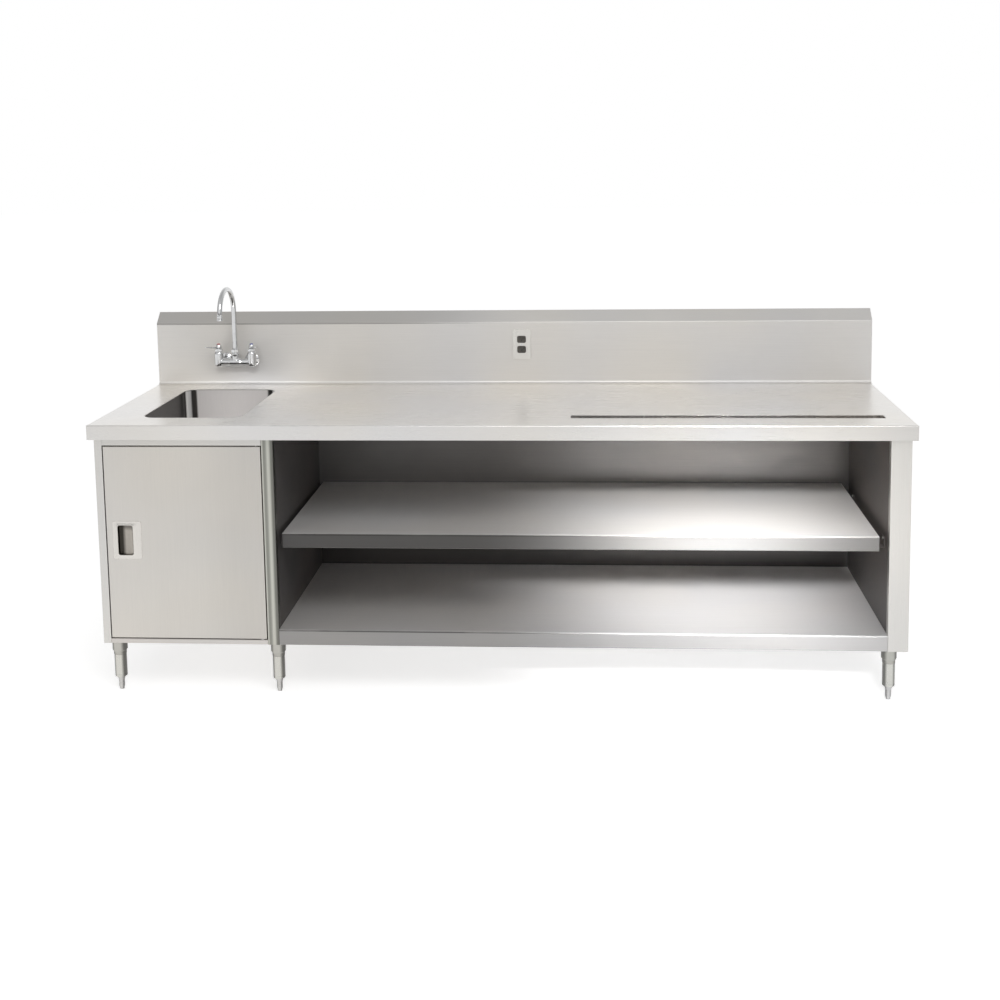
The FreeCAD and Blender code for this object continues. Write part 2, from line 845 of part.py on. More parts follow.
# Door
def make_door():
    """Outer pan, inner pan, recessed pull, pivot bushes and the catch's strike."""
    outer = new_piece("door_outer_pan")
    pad(outer, "Y", body_front, door_back, rectangle(door_left, door_right, door_bottom, door_top))
    round_edges(outer, size("door_edge_radius"), (None, body_front, door_top),
                (None, body_front, door_bottom), (door_left, body_front, None),
                (door_right, body_front, None))
    cut(outer, "Y", body_front + door_sheet, door_back + overrun,
        rectangle(door_left + door_sheet, door_right - door_sheet,
                  door_bottom + door_sheet, door_top - door_sheet))
    cut(outer, "Y", body_front - overrun, body_front + door_sheet + overrun,
        rectangle(*pull_cup(seat_gap), size("pull_corner")))
    pin_hole = circle(pivot_x, pivot_y, size("pin_radius") + hole_gap)
    cut(outer, "Z", door_bottom - overrun, door_top + overrun, pin_hole)

    inner = new_piece("door_inner_pan")
    liner_front = door_back - size("door_liner_depth")
    inset = door_sheet + seat_gap / 2
    pad(inner, "Y", liner_front, door_back,
        rectangle(door_left + inset, door_right - inset, door_bottom + inset, door_top - inset))
    inset = inset + door_sheet
    cut(inner, "Y", liner_front - overrun, door_back - door_sheet,
        rectangle(door_left + inset, door_right - inset, door_bottom + inset, door_top - inset))
    cut(inner, "Z", door_bottom - overrun, door_top + overrun, pin_hole)

    bushes = new_piece("door_pivot_bushes")
    bush_inset = door_sheet * 2 + seat_gap
    height = size("bush_height")
    rings = [circle(pivot_x, pivot_y, size("bush_radius")),
             circle(pivot_x, pivot_y, size("pin_radius") + running)]
    low = door_bottom + bush_inset
    high = door_top - bush_inset
    pad(bushes, "Z", low, low + height, *rings)
    pad(bushes, "Z", high - height, high, *rings)

    strike = new_piece("catch_strike")
    pad(strike, "Y", door_back, door_back + size("strike_thickness"),
        rectangle(catch_left, catch_left + size("catch_width"),
                  lip_bottom - size("catch_nose") - seat_gap * 4, lip_bottom - seat_gap * 2))


def pull_cup(margin):
    """The pull's cup in X and Z, widened all round by a margin."""
    plate_x = door_left + size("pull_left_inset") + size("pull_plate_width") / 2
    centre_x = plate_x - size("pull_offset")
    centre_z = body_bottom + size("pull_rise")
    wall = size("pull_wall") + margin
    half_x = size("pull_width") / 2 + wall
    half_z = size("pull_height") / 2 + wall
    return centre_x - half_x, centre_x + half_x, centre_z - half_z, centre_z + half_z


def make_pull():
    """A face plate with a cup behind it for the fingers."""
    pull = new_piece("door_pull")
    low_x, high_x, low_z, high_z = pull_cup(zero)
    plate_left = door_left + size("pull_left_inset")
    plate_bottom = (low_z + high_z) / 2 - size("pull_plate_height") / 2
    plate = rectangle(plate_left, plate_left + size("pull_plate_width"),
                      plate_bottom, plate_bottom + size("pull_plate_height"), size("pull_corner"))
    plate_front = body_front - size("pull_plate_proud")
    pad(pull, "Y", plate_front, body_front, plate)
    pad(pull, "Y", body_front, body_front + size("pull_depth"),
        rectangle(low_x, high_x, low_z, high_z, size("pull_corner")))
    wall = size("pull_wall")
    cut(pull, "Y", plate_front - overrun, body_front + size("pull_depth") - wall,
        rectangle(low_x + wall, high_x - wall, low_z + wall, high_z - wall,
                  size("pull_corner") - wall))
    round_edges(pull, size("pull_plate_proud") / 2,
                (plate_left, plate_front, None),
                (plate_left + size("pull_plate_width"), plate_front, None),
                (None, plate_front, plate_bottom),
                (None, plate_front, plate_bottom + size("pull_plate_height")))


catch_left = door_left + size("catch_left_inset")


def make_catch():
    """The magnetic catch behind the rail's lip."""
    catch = new_piece("catch_magnet")
    width = size("catch_width")
    lip_back = return_back + body_sheet
    pad(catch, "Y", lip_back, lip_back + size("catch_depth"),
        rectangle(catch_left, catch_left + width,
                  lip_bottom - size("catch_nose"), lip_bottom + size("catch_height") / 2))
    pad(catch, "Y", door_back + size("strike_thickness") + seat_gap, lip_back,
        rectangle(catch_left + bend, catch_left + width - bend,
                  lip_bottom - size("catch_nose") + seat_gap, lip_bottom - seat_gap))


def make_pivots():
    """The fixed pins that the door turns on, each on its own plate."""
    half = size("pivot_plate_width") / 2
    depth = size("pivot_front_inset") - body_sheet - bend
    thick = size("pivot_plate")
    pin = circle(pivot_x, pivot_y, size("pin_radius"))
    plate = rectangle(pivot_x - half, divider_left - seat_gap, pivot_y - depth,
                      return_back - body_sheet)
    upper = new_piece("door_pivot_upper")
    seat = rail_bottom + body_sheet
    pad(upper, "Z", seat, seat + thick, plate)
    pad(upper, "Z", door_top - door_sheet * 2 - size("pin_reach"), seat, pin)
    lower = new_piece("door_pivot_lower")
    seat = cabinet_floor - body_sheet
    pad(lower, "Z", seat - thick, seat, plate)
    pad(lower, "Z", seat, door_bottom + door_sheet * 2 + size("pin_reach"), pin)
    pad(lower, "Z", cabinet_floor, door_bottom - seat_gap,
        circle(pivot_x, pivot_y, size("pivot_collar_radius")))


# Legs and feet
def make_leg_channels():
    """Upturned channels between the floor's front and back hems, which the sockets are bolted to."""
    channels = new_piece("leg_channels")
    rim = cabinet_floor - body_sheet
    left_leg = body_left + size("leg_left_inset")
    spans = [(body_left + body_sheet, left_leg + size("socket_plate_width") / 2),
             (divider_left + body_sheet, divider_right - body_sheet),
             (end_liner + body_sheet, body_right - body_sheet)]
    for low, high in spans:
        pad(channels, "Y", return_back + overrun, back_face - size("shelf_return") - overrun,
            folded_loop([(low, rim), (low, body_bottom), (high, body_bottom), (high, rim)],
                        body_sheet, bend))


def leg_places():
    """Each leg's name and its place in X and Y."""
    columns = [("left", body_left + size("leg_left_inset")),
               ("middle", (divider_left + divider_right) / 2),
               ("right", body_right - size("leg_right_inset"))]
    rows = [("front", body_front + size("leg_front_inset")),
            ("rear", body_back - size("leg_back_inset"))]
    return [(f"{row}_{column}", x, y) for row, y in rows for column, x in columns]


def make_legs():
    """Sockets, tubes with a plug in the bottom, set screws and adjustable feet."""
    places = [(x, y) for _, x, y in leg_places()]
    socket_bottom = body_bottom - size("socket_height")
    plate_bottom = body_bottom - size("socket_plate")
    tube_bottom = size("foot_height")
    tube_top = plate_bottom - seat_gap
    bore = size("leg_radius") + seat_gap
    half = size("socket_plate_width") / 2

    sockets = new_piece("leg_sockets")
    pad(sockets, "Z", plate_bottom, body_bottom,
        *[rectangle(socket_edge(x, half, -1), socket_edge(x, half, 1), y - half, y + half)
          for x, y in places])
    pad(sockets, "Z", socket_bottom, plate_bottom,
        *[circle(x, y, size("socket_radius")) for x, y in places])
    cut(sockets, "Z", socket_bottom - overrun, plate_bottom, *[circle(x, y, bore) for x, y in places])
    screw_z = socket_bottom + size("set_screw_height")
    screw = size("set_screw_radius")
    for y in (leg_places()[0][2], leg_places()[-1][2]):
        cut(sockets, "Y", y, y + size("socket_radius") + overrun,
            *[circle(x, screw_z, screw + running) for x, _ in places[:3]])

    tubes = new_piece("leg_tubes")
    tube_bore = size("leg_radius") - size("leg_wall")
    outside = [circle(x, y, size("leg_radius")) for x, y in places]
    inside = [circle(x, y, tube_bore) for x, y in places]
    stud_bore = [circle(x, y, size("stud_radius") + running) for x, y in places]
    pad(tubes, "Z", tube_bottom, tube_bottom + size("leg_plug"), *outside, *stud_bore)
    pad(tubes, "Z", tube_bottom + size("leg_plug"), tube_top, *outside, *inside)

    screws = new_piece("leg_set_screws")
    for y in (leg_places()[0][2], leg_places()[-1][2]):
        low = y + size("leg_radius")
        pad(screws, "Y", low, low + size("set_screw_length"),
            *[circle(x, screw_z, screw) for x, _ in places[:3]])

    shoulder = tube_bottom - seat_gap
    grip = size("foot_radius")
    for name, x, y in leg_places():
        foot = new_piece(f"{name}_foot")
        place(foot, x, y)
        revolve(foot, points(
            (zero, zero), (size("foot_tip_radius"), zero), (grip, grip - size("foot_tip_radius")),
            (grip, shoulder - size("foot_shoulder_radius")),
            (size("foot_shoulder_radius"), shoulder - grip),
            (size("foot_shoulder_radius"), shoulder), (size("stud_radius"), shoulder),
            (size("stud_radius"), shoulder + size("stud_length")),
            (zero, shoulder + size("stud_length"))))


def socket_edge(x, half, side):
    """A socket plate's edge in X, kept inside the carcass."""
    reach = x - half if side < 0 else x + half
    if reach.value < body_left.value:
        return body_left
    if reach.value > body_right.value:
        return body_right
    return reach


# Sink
def make_sink():
    """The welded bowl and its drain fittings."""
    bowl = new_piece("sink_bowl")
    wall = body_sheet
    corner = size("sink_corner")
    pad(bowl, "Z", sink_floor - wall, under_top,
        rectangle(sink_left - wall, sink_right + wall, sink_front - wall, sink_back + wall,
                  corner + wall))
    round_edges(bowl, size("sink_floor_radius") + wall, (None, None, sink_floor - wall))
    hollow(bowl, wall, under_top)
    cut(bowl, "Z", sink_floor - wall - overrun, sink_floor + overrun,
        circle(sink_x, sink_y, size("drain_hole_radius")))

    cup = size("drain_cup_radius")
    skin = size("drain_wall")
    rim = sink_floor + skin
    cup_floor = sink_floor - size("drain_cup_depth")
    neck = size("drain_neck_radius")
    neck_end = cup_floor - size("drain_neck_length")
    drain = new_piece("sink_drain_body")
    place(drain, sink_x, sink_y)
    revolve(drain, points(
        (cup - skin, rim), (size("drain_flange_radius"), rim),
        (size("drain_flange_radius"), sink_floor), (cup, sink_floor), (cup, cup_floor),
        (neck, cup_floor), (neck, neck_end), (neck - skin, neck_end),
        (neck - skin, cup_floor + skin), (cup - skin, cup_floor + skin)))

    gasket = new_piece("sink_drain_gasket")
    place(gasket, sink_x, sink_y)
    under_bowl = sink_floor - wall
    gasket_bottom = under_bowl - size("gasket_thickness")
    pad(gasket, "Z", gasket_bottom, under_bowl,
        circle(zero, zero, size("drain_flange_radius")), circle(zero, zero, cup + seat_gap))

    nut = new_piece("sink_drain_nut")
    place(nut, sink_x, sink_y)
    pad(nut, "Z", gasket_bottom - size("drain_nut_height"), gasket_bottom,
        hexagon(zero, zero, size("drain_nut_radius")), circle(zero, zero, cup + seat_gap))

    strainer = new_piece("sink_strainer")
    place(strainer, sink_x, sink_y)
    rest = cup_floor + skin + seat_gap
    radius = size("strainer_rim_radius")
    basket_top = rest + size("strainer_depth")
    knob = size("strainer_knob_radius")
    knob_top = rest + size("strainer_knob_height") + skin
    revolve(strainer, points(
        (zero, rest), (radius, rest), (radius, basket_top), (radius - skin, basket_top),
        (radius - skin, rest + skin), (knob / 2, rest + skin), (knob / 2, knob_top - knob),
        (knob, knob_top - knob / 2), (knob, knob_top), (zero, knob_top)))
    hole = cut(strainer, "Z", rest - overrun, rest + skin + seat_gap,
               circle(size("strainer_ring_radius"), zero, size("strainer_hole_radius")))
    ring = strainer.newObject("PartDesign::PolarPattern", "strainer_holes")
    ring.Originals = [hole]
    ring.Axis = (origin_feature(strainer, "Z_Axis"), [""])
    ring.Angle = 360
    strainer_holes = 10
    ring.Occurrences = strainer_holes
    strainer.Tip = ring

    tail = new_piece("sink_tailpiece")
    place(tail, sink_x, sink_y)
    pipe = size("tailpiece_radius")
    nut_low = neck_end - size("tailpiece_nut_height") / 2
    nut_high = neck_end + size("tailpiece_nut_height") / 2
    pipe_end = neck_end - size("tailpiece_length")
    revolve(tail, points(
        (pipe - skin, neck_end), (neck + seat_gap, neck_end), (neck + seat_gap, nut_high),
        (size("tailpiece_nut_radius"), nut_high), (size("tailpiece_nut_radius"), nut_low),
        (pipe, nut_low), (pipe, pipe_end), (pipe - skin, pipe_end)))


# Drip trough
def make_trough():
    """A narrow pan welded under the slot in the worktop, its outlet and two lift-out strainers."""
    wall = body_sheet
    corner = size("trough_corner")
    pan = new_piece("trough_pan")
    pad(pan, "Z", trough_floor - wall, under_top,
        rectangle(trough_left - wall, trough_right + wall, trough_front - wall,
                  trough_back + wall, corner + wall))
    cut(pan, "Z", trough_floor, under_top + overrun,
        rectangle(trough_left, trough_right, trough_front, trough_back, corner))
    cut(pan, "Z", trough_floor - wall - overrun, trough_floor + overrun,
        circle(trough_drain_x, trough_y, size("trough_drain_radius")))

    outlet = new_piece("trough_drain")
    place(outlet, trough_drain_x, trough_y)
    bore = size("trough_drain_radius")
    pad(outlet, "Z", trough_floor - wall - size("trough_drain_length"), trough_floor - wall,
        circle(zero, zero, bore + size("trough_drain_wall")), circle(zero, zero, bore))

    side = size("drip_side_gap")
    gap = size("drip_end_gap")
    middle = (trough_left + trough_right) / 2
    surface = top - size("drip_top_drop")
    foot = trough_floor + seat_gap
    section = folded_loop([(trough_back - side, foot), (trough_back - side, surface),
                           (trough_front + side, surface), (trough_front + side, foot)],
                          body_sheet, bend)
    start_left = trough_left + corner
    end_right = trough_right - corner
    runs = [("trough_strainer_left", start_left, middle - gap / 2),
            ("trough_strainer_right", middle + gap / 2, end_right)]
    for label, low, high in runs:
        strip = new_piece(label)
        pad(strip, "X", low, high, section)
        pitch = size("drip_slot_pitch")
        count = int((high.value - low.value) / pitch.value) - 1
        round_share = 0.9
        half_slot = size("drip_slot_length") / 2
        half_width = size("drip_slot_width") / 2
        first = (low + high) / 2 - pitch * ((count - 1) / 2)
        slot = cut(strip, "Z", surface - body_sheet - overrun, surface + overrun,
                   rectangle(first - half_width, first + half_width,
                             trough_y - half_slot, trough_y + half_slot,
                             half_width * round_share))
        row = strip.newObject("PartDesign::LinearPattern", f"{label}_slots")
        row.Originals = [slot]
        row.Direction = (origin_feature(strip, "X_Axis"), [""])
        row.Mode = "Spacing"
        row.Occurrences = count
        row.setExpression("Offset", pitch.text)
        strip.Tip = row


# Faucet
def make_faucet():
    """A splash-mounted faucet: body, flanges, lock nuts, bonnets, levers and swivel spout."""
    valve_top = faucet_z + size("valve_rise")
    socket_top = faucet_z + size("socket_rise")
    body = new_piece("faucet_body")
    pad(body, "X", valves[0], valves[1], circle(faucet_y, faucet_z, size("bar_radius")))
    pad(body, "Z", faucet_z - size("valve_radius"), valve_top,
        *[circle(x, faucet_y, size("valve_radius")) for x in valves])
    pad(body, "Z", faucet_z, socket_top, circle(sink_x, faucet_y, size("spout_nut_radius")))
    pad(body, "Y", faucet_y, splash_face, *[circle(x, faucet_z, size("elbow_radius")) for x in inlets])
    shank_end = splash_face + size("inlet_length")
    thread_end = splash_back + size("lock_nut_height") + seat_gap
    pad(body, "Y", splash_face, thread_end,
        *[circle(x, faucet_z, size("inlet_radius")) for x in inlets])
    pad(body, "Y", thread_end, shank_end,
        *[circle(x, faucet_z, size("inlet_tail_radius")) for x in inlets])
    cut(body, "Y", faucet_y, shank_end + overrun,
        *[circle(x, faucet_z, size("inlet_bore")) for x in inlets])
    spout_seat = socket_top - size("spout_insert")
    cut(body, "Z", spout_seat, socket_top + overrun,
        circle(sink_x, faucet_y, size("spout_radius") + running))

    flanges = new_piece("faucet_flanges")
    pad(flanges, "Y", splash_face - size("faucet_flange_height"), splash_face,
        *[circle(x, faucet_z, size("faucet_flange_radius")) for x in inlets],
        *[circle(x, faucet_z, size("elbow_radius") + seat_gap) for x in inlets])

    nuts = new_piece("faucet_lock_nuts")
    pad(nuts, "Y", splash_back, splash_back + size("lock_nut_height"),
        *[hexagon(x, faucet_z, size("lock_nut_radius")) for x in inlets],
        *[circle(x, faucet_z, size("inlet_radius") + seat_gap) for x in inlets])

    bonnets = new_piece("faucet_bonnets")
    bonnet_top = valve_top + size("bonnet_height")
    pad(bonnets, "Z", valve_top, bonnet_top,
        *[hexagon(x, faucet_y, size("bonnet_radius")) for x in valves],
        *[circle(x, faucet_y, size("stem_radius") + running) for x in valves])

    for name, x, turn in (("left", valves[0], -90 - dimensions["lever_splay"]),
                          ("right", valves[1], -90 + dimensions["lever_splay"])):
        make_lever(name, x, turn, bonnet_top)

    nut = new_piece("spout_nut")
    place(nut, sink_x, faucet_y)
    pad(nut, "Z", socket_top, socket_top + size("spout_nut_height"),
        hexagon(zero, zero, size("spout_nut_radius")),
        circle(zero, zero, size("spout_radius") + running))
    make_spout(spout_seat + seat_gap)


def make_lever(name, x, turn, bonnet_top):
    """One lever handle with its stem, and the cap screw on top."""
    lever = new_piece(f"faucet_lever_{name}")
    lever.Placement.Rotation = FreeCAD.Rotation(FreeCAD.Vector(0, 0, 1), turn)
    place(lever, x, faucet_y)
    hub_bottom = bonnet_top + seat_gap
    hub_top = hub_bottom + size("lever_hub_height")
    hub = size("lever_hub_radius")
    half = size("lever_width") / 2
    thick = size("lever_thickness")
    tip = size("lever_length")
    rise = size("lever_lift")
    pad(lever, "Z", hub_bottom, hub_top, circle(zero, zero, hub))
    pad(lever, "Z", bonnet_top - size("stem_length"), hub_bottom,
        circle(zero, zero, size("stem_radius")))
    tip_share = 0.6
    corner_share = 0.8
    blade_low = hub_bottom + thick / 2
    pad(lever, "Y", -half, half, points(
        (zero, blade_low), (hub, blade_low), (tip, blade_low + rise),
        (tip, blade_low + rise + thick * tip_share), (hub, blade_low + thick),
        (zero, blade_low + thick)))
    round_edges(lever, half * corner_share, (tip, -half, None), (tip, half, None))

    cap = new_piece(f"faucet_lever_cap_{name}")
    place(cap, x, faucet_y)
    pad(cap, "Z", hub_top, hub_top + size("lever_cap_height"),
        circle(zero, zero, size("lever_cap_radius")))


def make_spout(foot):
    """The gooseneck tube and the aerator on its end."""
    tube = new_piece("gooseneck_spout")
    place(tube, sink_x, faucet_y)
    radius = size("spout_radius")
    bend_radius = size("spout_span") / 2
    crown = top + size("spout_rise")
    outlet = crown - size("spout_leg")
    spine = tube.newObject("Sketcher::SketchObject", "gooseneck_line")
    spine.AttachmentSupport = [(origin_feature(tube, "YZ_Plane"), "")]
    spine.MapMode = "FlatFace"
    line = Drawing(spine)
    riser = line.add_line((zero, foot), (zero, crown))
    drop = line.add_line((-size("spout_span"), crown), (-size("spout_span"), outlet))
    line.add_corner(riser, drop, (zero, crown), (-size("spout_span"), crown), (0, 1), True,
                    bend_radius, crown)
    line.finish()
    profile = sketch_on(tube, "Z", foot, [circle(zero, zero, radius),
                                          circle(zero, zero, radius - size("spout_wall"))])
    pipe = tube.newObject("PartDesign::AdditivePipe", "gooseneck_pipe")
    pipe.Profile = profile
    pipe.Spine = (spine, [])

    aerator = new_piece("spout_aerator")
    place(aerator, sink_x, faucet_y - size("spout_span"))
    shell = size("aerator_radius")
    mouth = outlet - size("aerator_height") / 2
    sleeve = outlet + size("aerator_height") / 2 - size("seat_gap")
    revolve(aerator, points(
        (size("aerator_bore"), mouth), (shell, mouth), (shell, sleeve),
        (radius + running, sleeve), (radius + running, outlet), (size("aerator_bore"), outlet)))


# Receptacle
def make_receptacle():
    """A duplex receptacle in a shallow box behind the splash, with its cover plate."""
    half_x = size("box_width") / 2
    half_z = size("box_height") / 2
    wall = size("box_wall")
    box = new_piece("receptacle_box")
    box_back = splash_back + size("box_depth")
    pad(box, "Y", splash_back, box_back,
        rectangle(plug_x - half_x, plug_x + half_x, plug_z - half_z, plug_z + half_z))
    cut(box, "Y", splash_back - overrun, box_back - wall,
        rectangle(plug_x - half_x + wall, plug_x + half_x - wall,
                  plug_z - half_z + wall, plug_z + half_z - wall))

    plate_front = splash_face - size("plate_thickness")
    face_x = size("outlet_width") / 2
    face_z = size("outlet_height") / 2
    outlets = [plug_z - size("outlet_pitch") / 2, plug_z + size("outlet_pitch") / 2]
    outlet = new_piece("receptacle_outlet")
    body_x = half_x - wall - seat_gap
    body_z = half_z - wall - seat_gap
    pad(outlet, "Y", splash_back, splash_back + size("outlet_body_depth"),
        rectangle(plug_x - body_x, plug_x + body_x, plug_z - body_z, plug_z + body_z))
    face_front = plate_front - size("outlet_proud")
    pad(outlet, "Y", face_front, splash_back,
        *[rectangle(plug_x - face_x, plug_x + face_x, z - face_z, z + face_z, face_z / 2)
          for z in outlets])
    slots = []
    for z in outlets:
        for side in (-1, 1):
            middle = moved(plug_x, size("slot_spacing") / 2, side)
            slots.append(rectangle(middle - size("slot_width") / 2, middle + size("slot_width") / 2,
                                   z, z + size("slot_height")))
        slots.append(circle(plug_x, z - size("slot_height") / 2, size("ground_radius")))
    cut(outlet, "Y", face_front - overrun, splash_back + overrun, *slots)
    screw_hole = circle(plug_x, plug_z, size("plate_screw_radius") + running)
    cut(outlet, "Y", splash_back - overrun, splash_back + size("outlet_body_depth") / 2, screw_hole)

    plate = new_piece("receptacle_plate")
    plate_x = size("plate_width") / 2
    plate_z = size("plate_height") / 2
    pad(plate, "Y", plate_front, splash_face,
        rectangle(plug_x - plate_x, plug_x + plate_x, plug_z - plate_z, plug_z + plate_z,
                  size("plate_thickness")))
    gap_x = face_x + seat_gap
    gap_z = face_z + seat_gap
    cut(plate, "Y", plate_front - overrun, splash_face + overrun,
        *[rectangle(plug_x - gap_x, plug_x + gap_x, z - gap_z, z + gap_z, gap_z / 2)
          for z in outlets], screw_hole)

    screw = new_piece("receptacle_plate_screw")
    pad(screw, "Y", plate_front - size("plate_screw_radius"), plate_front,
        circle(plug_x, plug_z, size("plate_screw_head")))
    screw_share = 0.4
    pad(screw, "Y", plate_front, splash_back + size("outlet_body_depth") * screw_share,
        circle(plug_x, plug_z, size("plate_screw_radius")))


make_worktop()
make_splash_ends()
make_channels()
make_walls()
make_shelves()
make_brackets()
make_rail()
make_door()
make_pull()
make_catch()
make_pivots()
make_leg_channels()
make_legs()
make_sink()
make_trough()
make_faucet()
make_receptacle()
doc.recompute()

faults = [f"{item.Label}: {item.State}" for item in doc.Objects
          if "Invalid" in item.State or "Error" in item.State]
for piece in pieces:
    if piece.Shape.isNull() or not piece.Shape.isValid():
        faults.append(f"{piece.Label}: no valid shape")
if faults:
    raise RuntimeError("; ".join(faults))

os.makedirs("parts", exist_ok=True)
for piece in pieces:
    piece.Shape.exportStep(f"parts/{piece.Label}.step")
    box = piece.Shape.BoundBox
    print(f"{piece.Label}: {len(piece.Shape.Solids)} solids, {piece.Shape.Volume:.0f} mm3, "
          f"{box.XLength:.0f} x {box.YLength:.0f} x {box.ZLength:.0f}")
print(f"{len(pieces)} pieces")
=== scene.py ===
import bmesh
import bpy
import math
from mathutils import Matrix, Vector


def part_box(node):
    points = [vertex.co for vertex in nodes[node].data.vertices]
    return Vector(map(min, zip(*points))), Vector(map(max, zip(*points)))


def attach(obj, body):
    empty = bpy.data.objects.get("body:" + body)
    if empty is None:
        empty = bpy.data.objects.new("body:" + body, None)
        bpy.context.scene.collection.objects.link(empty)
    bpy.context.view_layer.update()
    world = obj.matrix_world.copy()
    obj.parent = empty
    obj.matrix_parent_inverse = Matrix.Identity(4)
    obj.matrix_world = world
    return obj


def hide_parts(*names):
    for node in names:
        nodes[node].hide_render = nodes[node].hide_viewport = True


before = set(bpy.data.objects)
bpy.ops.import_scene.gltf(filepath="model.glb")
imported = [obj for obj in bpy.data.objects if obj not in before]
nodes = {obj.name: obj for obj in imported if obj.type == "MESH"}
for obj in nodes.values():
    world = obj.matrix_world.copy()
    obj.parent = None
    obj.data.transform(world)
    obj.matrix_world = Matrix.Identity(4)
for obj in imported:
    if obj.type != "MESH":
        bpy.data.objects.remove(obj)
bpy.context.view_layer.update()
scene = bpy.context.scene
print("counter loaded:", len(nodes), "nodes")

# Camera

view = {
    "place": (0.3453, -4.3834, 1.8814),
    "yaw": -3.608,  # degrees
    "pitch": 6.356,
    "roll": -0.801,
    "lens": 44.961,
    "sensor": 36,
    "shift": (-0.02, -0.22),
    "farEnd": 60,
}


def makeCamera():
    data = bpy.data.cameras.new("camera")
    data.lens = view["lens"]
    data.sensor_width = view["sensor"]
    data.shift_x, data.shift_y = view["shift"]
    data.clip_end = view["farEnd"]
    camera = bpy.data.objects.new("camera", data)
    scene.collection.objects.link(camera)
    yaw, pitch, roll = (math.radians(view[turn]) for turn in ("yaw", "pitch", "roll"))
    forward = Vector((math.sin(yaw) * math.cos(pitch), math.cos(yaw) * math.cos(pitch),
                      -math.sin(pitch)))
    level = Vector((math.cos(yaw), -math.sin(yaw), 0))
    upright = level.cross(forward)
    side = level * math.cos(roll) + upright * math.sin(roll)
    up = upright * math.cos(roll) - level * math.sin(roll)
    turned = Matrix((side, up, -forward)).transposed()
    camera.matrix_world = Matrix.Translation(Vector(view["place"])) @ turned.to_4x4()
    scene.camera = camera
    scene.view_settings.view_transform = "Standard"


# Short ways to add and join shader nodes


def plug(tree, socket, value):
    if isinstance(value, bpy.types.NodeSocket):
        tree.links.new(value, socket)
    elif socket.type == "RGBA":
        socket.default_value = (*value, 1)
    else:
        socket.default_value = value


def addNode(tree, kind, inputs=None, **settings):
    made = tree.nodes.new("ShaderNode" + kind)
    for key, value in settings.items():
        setattr(made, key, value)
    for key, value in (inputs or {}).items():
        plug(tree, made.inputs[key], value)
    return made


def reckon(tree, operation, *values):
    made = addNode(tree, "Math", operation=operation)
    for socket, value in zip(made.inputs, values):
        plug(tree, socket, value)
    return made.outputs[0]


def scaled(tree, value, factor):
    return reckon(tree, "MULTIPLY", value, factor)


def spread(tree, value, fromLow, fromHigh, toLow, toHigh, curve="LINEAR"):
    return addNode(tree, "MapRange", {"Value": value, "From Min": fromLow, "From Max": fromHigh,
                                      "To Min": toLow, "To Max": toHigh},
                   interpolation_type=curve).outputs[0]


def mixColour(tree, share, first, second, blend="MIX"):
    mix = addNode(tree, "Mix", data_type="RGBA", blend_type=blend)
    for index, value in ((0, share), (6, first), (7, second)):
        plug(tree, mix.inputs[index], value)
    return mix.outputs[2]


def mixValue(tree, share, first, second):
    mix = addNode(tree, "Mix", data_type="FLOAT")
    for index, value in ((0, share), (2, first), (3, second)):
        plug(tree, mix.inputs[index], value)
    return mix.outputs[0]


def axisOf(tree, kind, axis):  # kind is Object for a place and Normal for a facing
    coords = addNode(tree, "TexCoord").outputs[kind]
    return addNode(tree, "SeparateXYZ", {0: coords}).outputs[axis]


def noise(tree, scale, detail, spot=None, **more):
    spot = spot or addNode(tree, "TexCoord").outputs["Object"]
    return addNode(tree, "TexNoise", {"Vector": spot, "Scale": scale, "Detail": detail,
                                      **more}).outputs[0]


def colourRamp(tree, share, stops):
    ramp = addNode(tree, "ValToRGB", {0: share})
    elements = ramp.color_ramp.elements
    for place, colour in stops[1:-1]:
        elements.new(place)
    for element, (place, colour) in zip(elements, stops):
        element.position = place
        element.color = (*colour, 1)
    return ramp.outputs[0]


def newMaterial(name):
    material = bpy.data.materials.new(name)
    material.use_nodes = True
    tree = material.node_tree
    return material, tree, tree.nodes["Principled BSDF"]


# Floor, surroundings and lamps

studio = {
    "floorSize": 60,
    "floorColour": (0.86, 0.86, 0.86),
    "floorLift": 0.56,
    "ambient": 0.52,
    "ceiling": (0.45, 1, 0.5),  # where the mirrored ceiling starts and ends to dim, and to what
    "sides": (0.55, 1, 0.4),
    "backWall": (-0.55, -0.25),  # the low strip in front that the steel mirrors darker
    "backWallTop": (0.04, 0.16),
    "backWallShade": 0.3,
}
overhead = {"place": (0.7, -2.7, 3.4), "target": (0.1, 0, 0.7), "power": 30,
            "size": (2.8, 1.4), "beam": 150}
spots = {
    "midShelfLight": {"place": (1.0, -3.0, 2.19), "target": (0.74, -0.18, 0.555),
                      "power": 1800, "cone": 7.2, "widen": 3.6, "softness": 0.25},
    "lowShelfLight": {"place": (1.0, -3.0, 2.19), "target": (0.72, -0.22, 0.242),
                      "power": 1500, "cone": 7.6, "widen": 2.9, "softness": 0.25},
    "sinkLight": {"place": (-0.5, -3.2, 3.0), "target": (-1.03, 0.16, 0.86),
                  "power": 480, "cone": 8.5, "widen": 1, "softness": 0.2},
}


